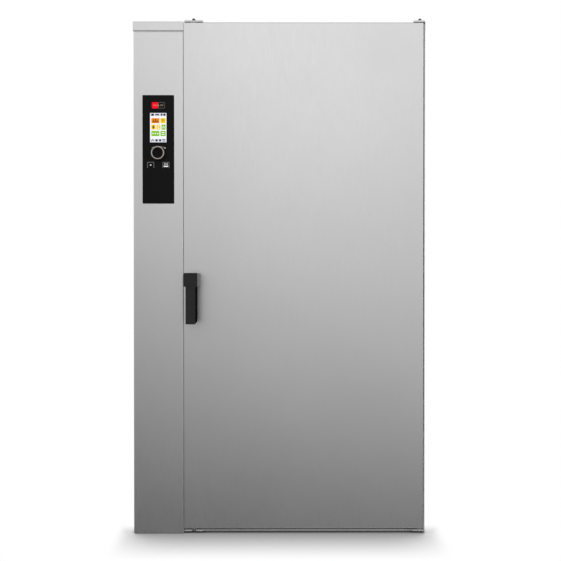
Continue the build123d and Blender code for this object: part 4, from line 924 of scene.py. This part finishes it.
def foot_bar_signs(top):
    """An arrowhead, a block, a round sign and two dashes."""
    return [
        line([(4.5, top + 10), (9.5, top + 3), (14.5, top + 10)], stroke),
        field(20, top + 2.6, 28.5, top + 10.4, sign_r, sign_layer),
        dot(37.5, top + 6.4, 4.4),
        level_line(46, 57, top + 3.8, fine_stroke),
        level_line(46, 57, top + 9.2, fine_stroke),
    ]


def tile_signs():
    """Three uprights over a base on the orange field, and a plus and a triangle on two yellow ones."""
    base = field(9, 31.5, 31, 34.5, sign_r, sign_layer)
    uprights = [upright_line(u, 30, top, bold_stroke) for u, top in ((12.5, 26), (20, 22.5), (27.5, 27))]
    plus = [upright_line(12.5, 46.5, 58.5, stroke), level_line(7.2, 17.8, 52.5, stroke)]
    triangle = line([(48.5, 33), (53.5, 25), (43.5, 25)], thin_stroke, closed=True)
    return [base, *uprights, *plus, triangle]


def pale_signs():
    """Two dots on a yellow field; an arrowhead, a row of dots and two dashes on the green ones."""
    arrowhead = line([(46.5, 57), (50.5, 48), (54.5, 57)], fine_stroke)
    row = [dot(u, 76.5, 2.7) for u in (11, 20, 29)]
    dashes = [level_line(43, 54, v, fine_stroke) for v in (73, 80)]
    return [dot(31.5, 48, 2.8), dot(31.5, 57, 2.8), arrowhead, *row, *dashes]


def screen_marks():
    """A plain generic screen: two bars with small signs, and coloured fields with simple signs."""
    mark("screen_field", "screen_field", [field(0, 0, screen_w, screen_h, screen_r, 0)])
    right = screen_w - bar_inset
    foot = screen_h - foot_bar_rise
    mark("screen_bars", "screen_bar", [
        field(bar_inset, bar_inset, right, top_bar_end, bar_r, tile_layer),
        field(bar_inset, foot, right, foot + foot_bar_h, bar_r, tile_layer),
    ])
    for color, places in tiles.items():
        fields = []
        for left, row, wide in places:
            top = tile_rows[row]
            fields.append(field(left, top, left + wide, top + tile_h, tile_r, tile_layer))
        mark(color, color, fields)
    mark("screen_signs", "screen_dark", [*top_bar_signs(), *foot_bar_signs(foot), *tile_signs()])
    mark("screen_pale_signs", "screen_field", pale_signs())


def key_marks(x, y0, y1):
    """On/off key with its lamp."""
    z = glass[1].z - key_drop
    over = y0 - layer
    left = rounded(x - key_w / 4, z, key_w / 2, key_h, key_r)
    right = rounded(x + key_w / 4, z, key_w / 2 - key_line, key_h - key_line, key_r)
    mark("key_on_field", "key_red", [slab(left, y0, y1)])
    mark("key_off_frame", "print_grey", [band(right, key_line, y0, y1, closed=True)])
    mark("key_lettering", "print_ink", [
        letters("ON", x - key_w / 4, z, key_h * key_text, over, y0 + mark_sink),
        letters("OFF", x + key_w / 4, z, key_h * key_text, over, y0 + mark_sink),
    ])
    mark("key_lamp", "lamp_green", [slab(circle(x, z, key_lamp_r), over - layer, y1)])


def arc_marks(x, knob_z, y0, y1):
    """Arc over the knob with a dot at its end."""
    half = math.degrees(math.asin(arc_half / arc_r))
    centre = knob_z + arc_rise - arc_r
    points = arc(x, centre, arc_r, 90 + half, 90 - half)
    mark("knob_arc", "print_line", [band(points, arc_line, y0, y1)])
    end = (x + arc_half, centre + math.sqrt(arc_r**2 - arc_half**2))
    mark("knob_arc_dot", "print_white", [slab(circle(*end, arc_dot_r), y0 - layer, y1)])


def touch_marks(x, z, y0, y1):
    """Two framed touch fields, with a dot and a steaming tray."""
    w, h = touch_w / 2, touch_h / 2
    over = y0 - layer
    frames = []
    for fx in (x - touch_out, x + touch_out):
        rail = [(fx - w, z - h), (fx - w, z + h), (fx + w, z + h), (fx + w, z - h)]
        for first in range(3):
            frames.append(band(rail[first:first + 2], touch_line, y0, y1))
    mark("touch_frames", "print_line", frames)
    fx = x + touch_out
    tray = [(fx + u * MM, z + v * MM) for u, v in tray_points]
    signs = [slab(circle(x - touch_out, z, touch_dot_r), over, y1), slab(tray, over, y1)]
    for puff in (fx - steam_out, fx, fx + steam_out):
        signs.append(band([(puff, z + steam_foot), (puff, z + steam_top)], steam_line, y0, y1))
    mark("touch_signs", "print_white", signs)


def panel_marks():
    """What is printed on the glass round the screen and the knob."""
    x = middle(glass, "x")
    knob_z = middle(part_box("knob_ring"), "z")
    y0, y1 = glass[0].y - layer, glass[0].y + mark_sink
    key_marks(x, y0, y1)
    arc_marks(x, knob_z, y0, y1)
    touch_marks(x, knob_z - touch_drop, y0, y1)


# Front seams, pins and rods


def strip(x0, x1, y0, y1, z0, z1, soft):
    """A straight upright strip with softened long edges."""
    outline = rounded((x0 + x1) / 2, (y0 + y1) / 2, x1 - x0, y1 - y0, soft, 3)
    return loft([(z0, outline), (z1, outline)], lying)


def edge_hems():
    """Folded edges beside the door and under the roof's rim, and a pale liner in the hinge gap."""
    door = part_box("door_outer_skin")
    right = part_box("right_side_panel")
    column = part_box("column_front_panel")
    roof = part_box("roof_panel")
    front = column[0].y
    hem_x = column[1].x + hem_gap, door[0].x + hem_lap
    hem_y = front + hem_front, front + hem_back
    hem = strip(*hem_x, *hem_y, door[0].z + hem_end, door[1].z - hem_end, soft_edge)
    shaped("door_side_hem", hem, "outer_steel", "door")
    liner_x = right[0].x - liner_proud, right[0].x + liner_sunk
    liner_y = front + liner_front, front + liner_back
    liner = strip(*liner_x, *liner_y, right[0].z + liner_foot, roof[0].z + liner_top, liner_soft)
    shaped("hinge_gap_liner", liner, "pale_liner", "cabinet")
    wide = column[1].x - column[0].x - 2 * rim_hem_end
    across = rounded(middle(column, "x"), column[1].z + rim_hem_up, wide, rim_hem_h, rim_hem_r, 3)
    rim = slab(across, front + rim_hem_front, front + rim_hem_back)
    shaped("rim_hem", rim, "seam_steel", "cabinet")


def pivot_tips():
    """Blackened domed ends of the pivot pins and latch rods, beyond their plates."""
    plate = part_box("hinge_plates")
    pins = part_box("hinge_pins")
    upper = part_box("upper_latch_rod")
    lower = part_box("lower_latch_rod")
    r = (pins[1].x - pins[0].x) / 2 + tip_play
    pin_x = middle(pins, "x")
    rod_x = (upper[0].x + lower[1].x) / 2
    places = [
        ("pin_tip_top", "cabinet", pin_x, plate[1].z, pins[1].z + tip_proud),
        ("pin_tip_bottom", "cabinet", pin_x, plate[0].z, pins[0].z - tip_proud),
        ("rod_tip_top", "upper_latch", rod_x, plate[1].z, upper[1].z + tip_proud),
        ("rod_tip_bottom", "lower_latch", rod_x, plate[0].z, lower[0].z - tip_proud),
    ]
    for name, body, x, near, far in places:
        way = 1 if far > near else -1
        dome = [(r * share, far - way * back * MM) for share, back in tip_dome]
        profile = [(axis_r, near), (r, near), *dome, (axis_r, far)]
        tip = revolve(profile, (x, middle(pins, "y"), 0.0), 32, "z")
        shaped(name, tip, "blackened_steel", body)


# Screws


def hexagon(size):
    """A hexagon socket's outline, with as many points as the head's."""
    points = []
    for i in range(head_steps):
        angle = math.tau * i / head_steps
        across = math.cos(sixth / 2) / math.cos((angle + sixth / 2) % sixth - sixth / 2)
        points.append((size * across * math.cos(angle), size * across * math.sin(angle)))
    return points


def screw_head(r, high):
    """Levels of a pan head with a hexagon socket."""
    levels = [(up * high, circle(0.0, 0.0, wide * r, head_steps)) for up, wide in head_profile]
    return levels + [(high, hexagon(socket_w * r)), (socket_floor * high, hexagon(socket_w * r))]


def set_down(centre, axis, way):
    """Where a head's points go, for a head whose middle on the face is centre."""
    def place(u, v, level):
        return tuple(c + s for c, s in zip(centre, stacked[axis](u, v, way * level)))
    return place


def screws(name, body, axis, way, places, head):
    """Screw heads on one face: each place is the head's middle on the face, way its direction."""
    heads = [loft(screw_head(*head), set_down(centre, axis, way)) for centre in places]
    shaped(name, together(heads), "zinc_steel", body)


def spaced(low, high, inset, pitch):
    """Even places between two edges, each end in by inset, no further apart than pitch."""
    first, last = low + inset, high - inset
    count = max(1, math.ceil((last - first) / pitch))
    return [first + (last - first) * i / count for i in range(count + 1)]


def around(u0, u1, v0, v1, row):
    """Places round the edge of a panel."""
    across, up = spaced(u0, u1, *row), spaced(v0, v1, *row)
    places = [(u, v) for u in (across[0], across[-1]) for v in up]
    return places + [(u, v) for u in across[1:-1] for v in (up[0], up[-1])]


def rear_edge_screws(name, body, node_name, row, head):
    """Screws round a panel, on its rear face."""
    low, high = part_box(node_name)
    edge = around(low.x, high.x, low.z, high.z, row)
    screws(name, body, "y", 1, [(x, high.y, z) for x, z in edge], head)


def roof_screws():
    """Screws in the roof's rear rim."""
    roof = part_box("roof_panel")
    places = [(x, roof[1].y, middle(roof, "z")) for x in spaced(roof[0].x, roof[1].x, *rim_row)]
    screws("roof_rim_screws", "cabinet", "y", 1, places, panel_head)


def corner_plate_screws():
    """Two screws in the top hinge plate and two in the top keeper plate."""
    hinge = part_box("hinge_plates")
    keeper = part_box("keeper_plates")
    y = hinge[1].y - plate_back
    plates = [(x, y, hinge[1].z) for x in (hinge[0].x + hinge_left, hinge[1].x - hinge_right)]
    plates += [(x, y, keeper[1].z) for x in (keeper[0].x + keeper_side, keeper[1].x - keeper_side)]
    screws("corner_plate_screws", "cabinet", "z", 1, plates, plate_head)


def lamp_screws():
    """Screws round the frames of the two lamps, on the chamber's side."""
    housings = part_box("lamp_housings")
    places = []
    for bottom in (housings[0].z, housings[1].z - lamp_frame_h):
        edge = around(housings[0].y, housings[1].y, bottom, bottom + lamp_frame_h, lamp_row)
        places += [(housings[0].x, y, z) for y, z in edge]
    screws("lamp_frame_screws", "cabinet", "x", -1, places, lamp_head)


def baffle_screws():
    """Large screws at the baffle's free edge."""
    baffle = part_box("fan_baffle")
    y = baffle[0].y + baffle_edge
    places = [(baffle[1].x, y, z) for z in spaced(baffle[0].z, baffle[1].z, *baffle_row)]
    screws("baffle_screws", "baffle", "x", 1, places, baffle_head)


def panel_screws():
    """Screws of the rear panels, roof, corner plates, lamps, door lining and fan baffle."""
    rear_edge_screws("rear_panel_screws", "cabinet", "rear_panel", panel_row, panel_head)
    rear_edge_screws("service_cover_screws", "cabinet", "service_cover", panel_row, panel_head)
    roof_screws()
    corner_plate_screws()
    lamp_screws()
    rear_edge_screws("door_lining_screws", "door", "door_inner_panel", lining_row, lining_head)
    baffle_screws()


# Connections, heaters, knob and handle


def stub_bead(name, r, end, axis, steps, along):
    """The rolled end of a stub."""
    bead = revolve(circle(r, end - bead_back, bead_r, bead_steps), axis, steps, along)
    shaped(name, bead, "chamber_steel", "cabinet")


def inlet_thread():
    """Ridges of the inlet's thread."""
    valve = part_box("solenoid_valve")
    end = valve[1].y
    start = end - thread_long
    profile = []
    for i in range(int((end - start) / thread_pitch)):
        profile.append((thread_root, start + i * thread_pitch))
        profile.append((thread_crest, start + (i + 0.5) * thread_pitch))
    profile += [(thread_root, end - thread_end), (thread_bore, end - thread_end), (thread_bore, start)]
    thread = revolve(profile, (middle(valve, "x"), 0.0, inlet_z), 64)
    shaped("inlet_thread", thread, "brass_fitting", "cabinet", crease=50)


def connections():
    """Rolled ends of the drain and vent stubs, and the inlet's thread."""
    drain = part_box("drain_outlet")
    drain_axis = (middle(drain, "x"), 0.0, middle(drain, "z"))
    stub_bead("drain_bead", drain_r, drain[1].y, drain_axis, 64, "y")
    vent_axis = (middle(glass, "x"), middle(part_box("vent_flap"), "y"), 0.0)
    stub_bead("vent_bead", vent_r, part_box("vent_pipe")[1].z, vent_axis, 72, "z")
    inlet_thread()


def heater_path(y, z, wall, plane):
    """Middle line of an element: out from the wall, once round the wheel, and back."""
    first = math.degrees(math.asin((lead_out + bend_r) / loop_r))
    low = z - loop_r * math.cos(math.radians(first))
    lead = [(wall, y - lead_out, low), (plane - 4 * bend_r, y - lead_out, low)]
    for i in range(bend_steps + 1):
        a = math.radians(90 * i / bend_steps)
        x = plane - bend_r + bend_r * math.sin(a)
        lead.append((x, y - lead_out - bend_r + bend_r * math.cos(a), low))
    loop = []
    for i in range(1, loop_steps):
        a = math.radians(-90 - first - (360 - 2 * first) * i / loop_steps)
        loop.append((plane, y + loop_r * math.cos(a), z + loop_r * math.sin(a)))
    back = [(x, 2 * y - at, level) for x, at, level in reversed(lead)]
    return lead + loop + back


def turned_out(y, z, turn):
    """Where a strap's points go, at a turn round the wheel's middle."""
    out = (math.sin(math.radians(turn)), -math.cos(math.radians(turn)))

    def place(u, v, level):
        return (level, y + out[0] * u - out[1] * v, z + out[1] * u + out[0] * v)
    return place


def ring_heaters():
    """Bent tube elements round the wheels, with straps and a wall plate for each."""
    low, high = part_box("ring_heaters")
    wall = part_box("baffle_mounts")[0].x
    flat = rounded(loop_r + wire_r + strap_gap, 0.0, strap_t, strap_w, strap_r, 3)
    shapes = []
    for wheel in ("fan_wheel_1", "fan_wheel_2"):
        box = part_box(wheel)
        y, z = middle(box, "y"), middle(box, "z")
        shapes.append(tube(heater_path(y, z, low.x, high.x - wire_r), wire_r))
        for turn in strap_turns:
            shapes.append(loft([(wall, flat), (high.x, flat)], turned_out(y, z, turn)))
        plate = rounded(y, z - loop_r, *post_plate)
        shapes.append(loft([(wall, plate), (wall + post_plate_t, plate)], sideways))
    elements = together(shapes)
    shaped("heater_elements", elements, "heater_sheath", "cabinet", ["ring_heaters"])


def knob_pieces():
    """Turned metal ring and a dished dark middle."""
    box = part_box("knob_ring")
    centre = (middle(box, "x"), 0.0, middle(box, "z"))
    rim = (box[1].x - box[0].x) / 2
    front, back = box[0].y, box[1].y
    profile = [(knob_bore + knob_edge, back), (rim - knob_edge, back), (rim, back - knob_edge)]
    profile += [(rim - inset * MM, front + deep * MM) for inset, deep in ring_rim]
    profile += [(knob_bore + out * MM, front + deep * MM) for out, deep in ring_lip]
    profile.append((knob_bore, back - knob_edge))
    ring = revolve(profile, centre)
    shaped("knob_turned_ring", ring, "knob_metal", "knob", ["knob_ring"])
    low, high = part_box("knob_core")
    face, end = low.y, high.y
    rim = knob_bore - knob_gap
    profile = [(out * MM, face + deep * MM) for out, deep in middle_dish]
    profile += [(rim - inset * MM, face + deep * MM) for inset, deep in middle_rim]
    profile += [(rim, end - knob_edge), (rim - knob_edge, end), (stem_mouth_r, end)]
    profile += [(stem_r, end - stem_depth), (axis_r, end - stem_depth)]
    dark = revolve(profile, centre)
    shaped("knob_middle", dark, "knob_dark", "knob", ["knob_core"])


def lever_part(y0, y1, shrink, corner):
    """The lever between two depths: straight, softened at its foot, and shorter towards its back."""
    head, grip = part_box("handle_boss"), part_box("handle_grip")
    x, top, foot = middle(head, "x"), head[0].z + lever_up, grip[0].z
    front, whole = grip[0].y, grip[1].y - grip[0].y
    levels = []
    for up, inset in [(top, 0.0)] + [(foot + up * MM, inset * MM) for up, inset in lever_foot]:
        wide = lever_w - 2 * (inset + shrink)
        levels.append((up, rounded(x, (y0 + y1) / 2, wide, y1 - y0 - 2 * inset, corner - inset)))

    def sloped(u, v, level):
        share = max(0.0, (v - front) / whole) if level < top else 0.0
        return (u, v, level + lever_heel * share)
    return loft(levels, sloped)


def handle_pieces():
    """Grey cast block, its dark cover and the dark lever that hangs from it, whose back part is near-black:
    painted shade for its sides.
    """
    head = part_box("handle_boss")
    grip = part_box("handle_grip")
    x, z = middle(head, "x"), middle(head, "z")
    side = head[1].x - head[0].x
    face, front, back = head[0].y, grip[0].y, grip[1].y
    block = loft(softened(x, z, side, side, block_r, head[1].y, face, block_soft), facing)
    shaped("handle_block", block, "grey_casting", "handle", ["handle_boss"])
    cover = loft(softened(x, z, side, side, cover_r, face, front, cover_soft), facing)
    lever = lever_part(front, front + lever_face, 0.0, lever_r)
    grips = together([cover, lever])
    shaped("handle_lever", grips, "grip_plastic", "handle", ["handle_grip"])
    neck_z = head[0].z + lever_up - neck_drop
    size = (lever_w - neck_slim, neck_h, neck_r)
    neck = loft(softened(x, neck_z, *size, face + neck_back, face - neck_front, neck_soft), facing)
    # Near-black back part of the lever, with its neck: painted shade standing in for the lever's shaded
    # sides
    core = lever_part(front + lever_face - core_lap, back, core_shrink, core_r)
    shaped("lever_back_painted_shade", together([core, neck]), "dull_grip", "handle")


bpy.context.scene.view_settings.view_transform = "Standard"
world_light()
studio_floor()
studio_lights()
photo_camera()
finish_nodes()
screen_marks()
panel_marks()
edge_hems()
pivot_tips()
panel_screws()
connections()
ring_heaters()
knob_pieces()
handle_pieces()
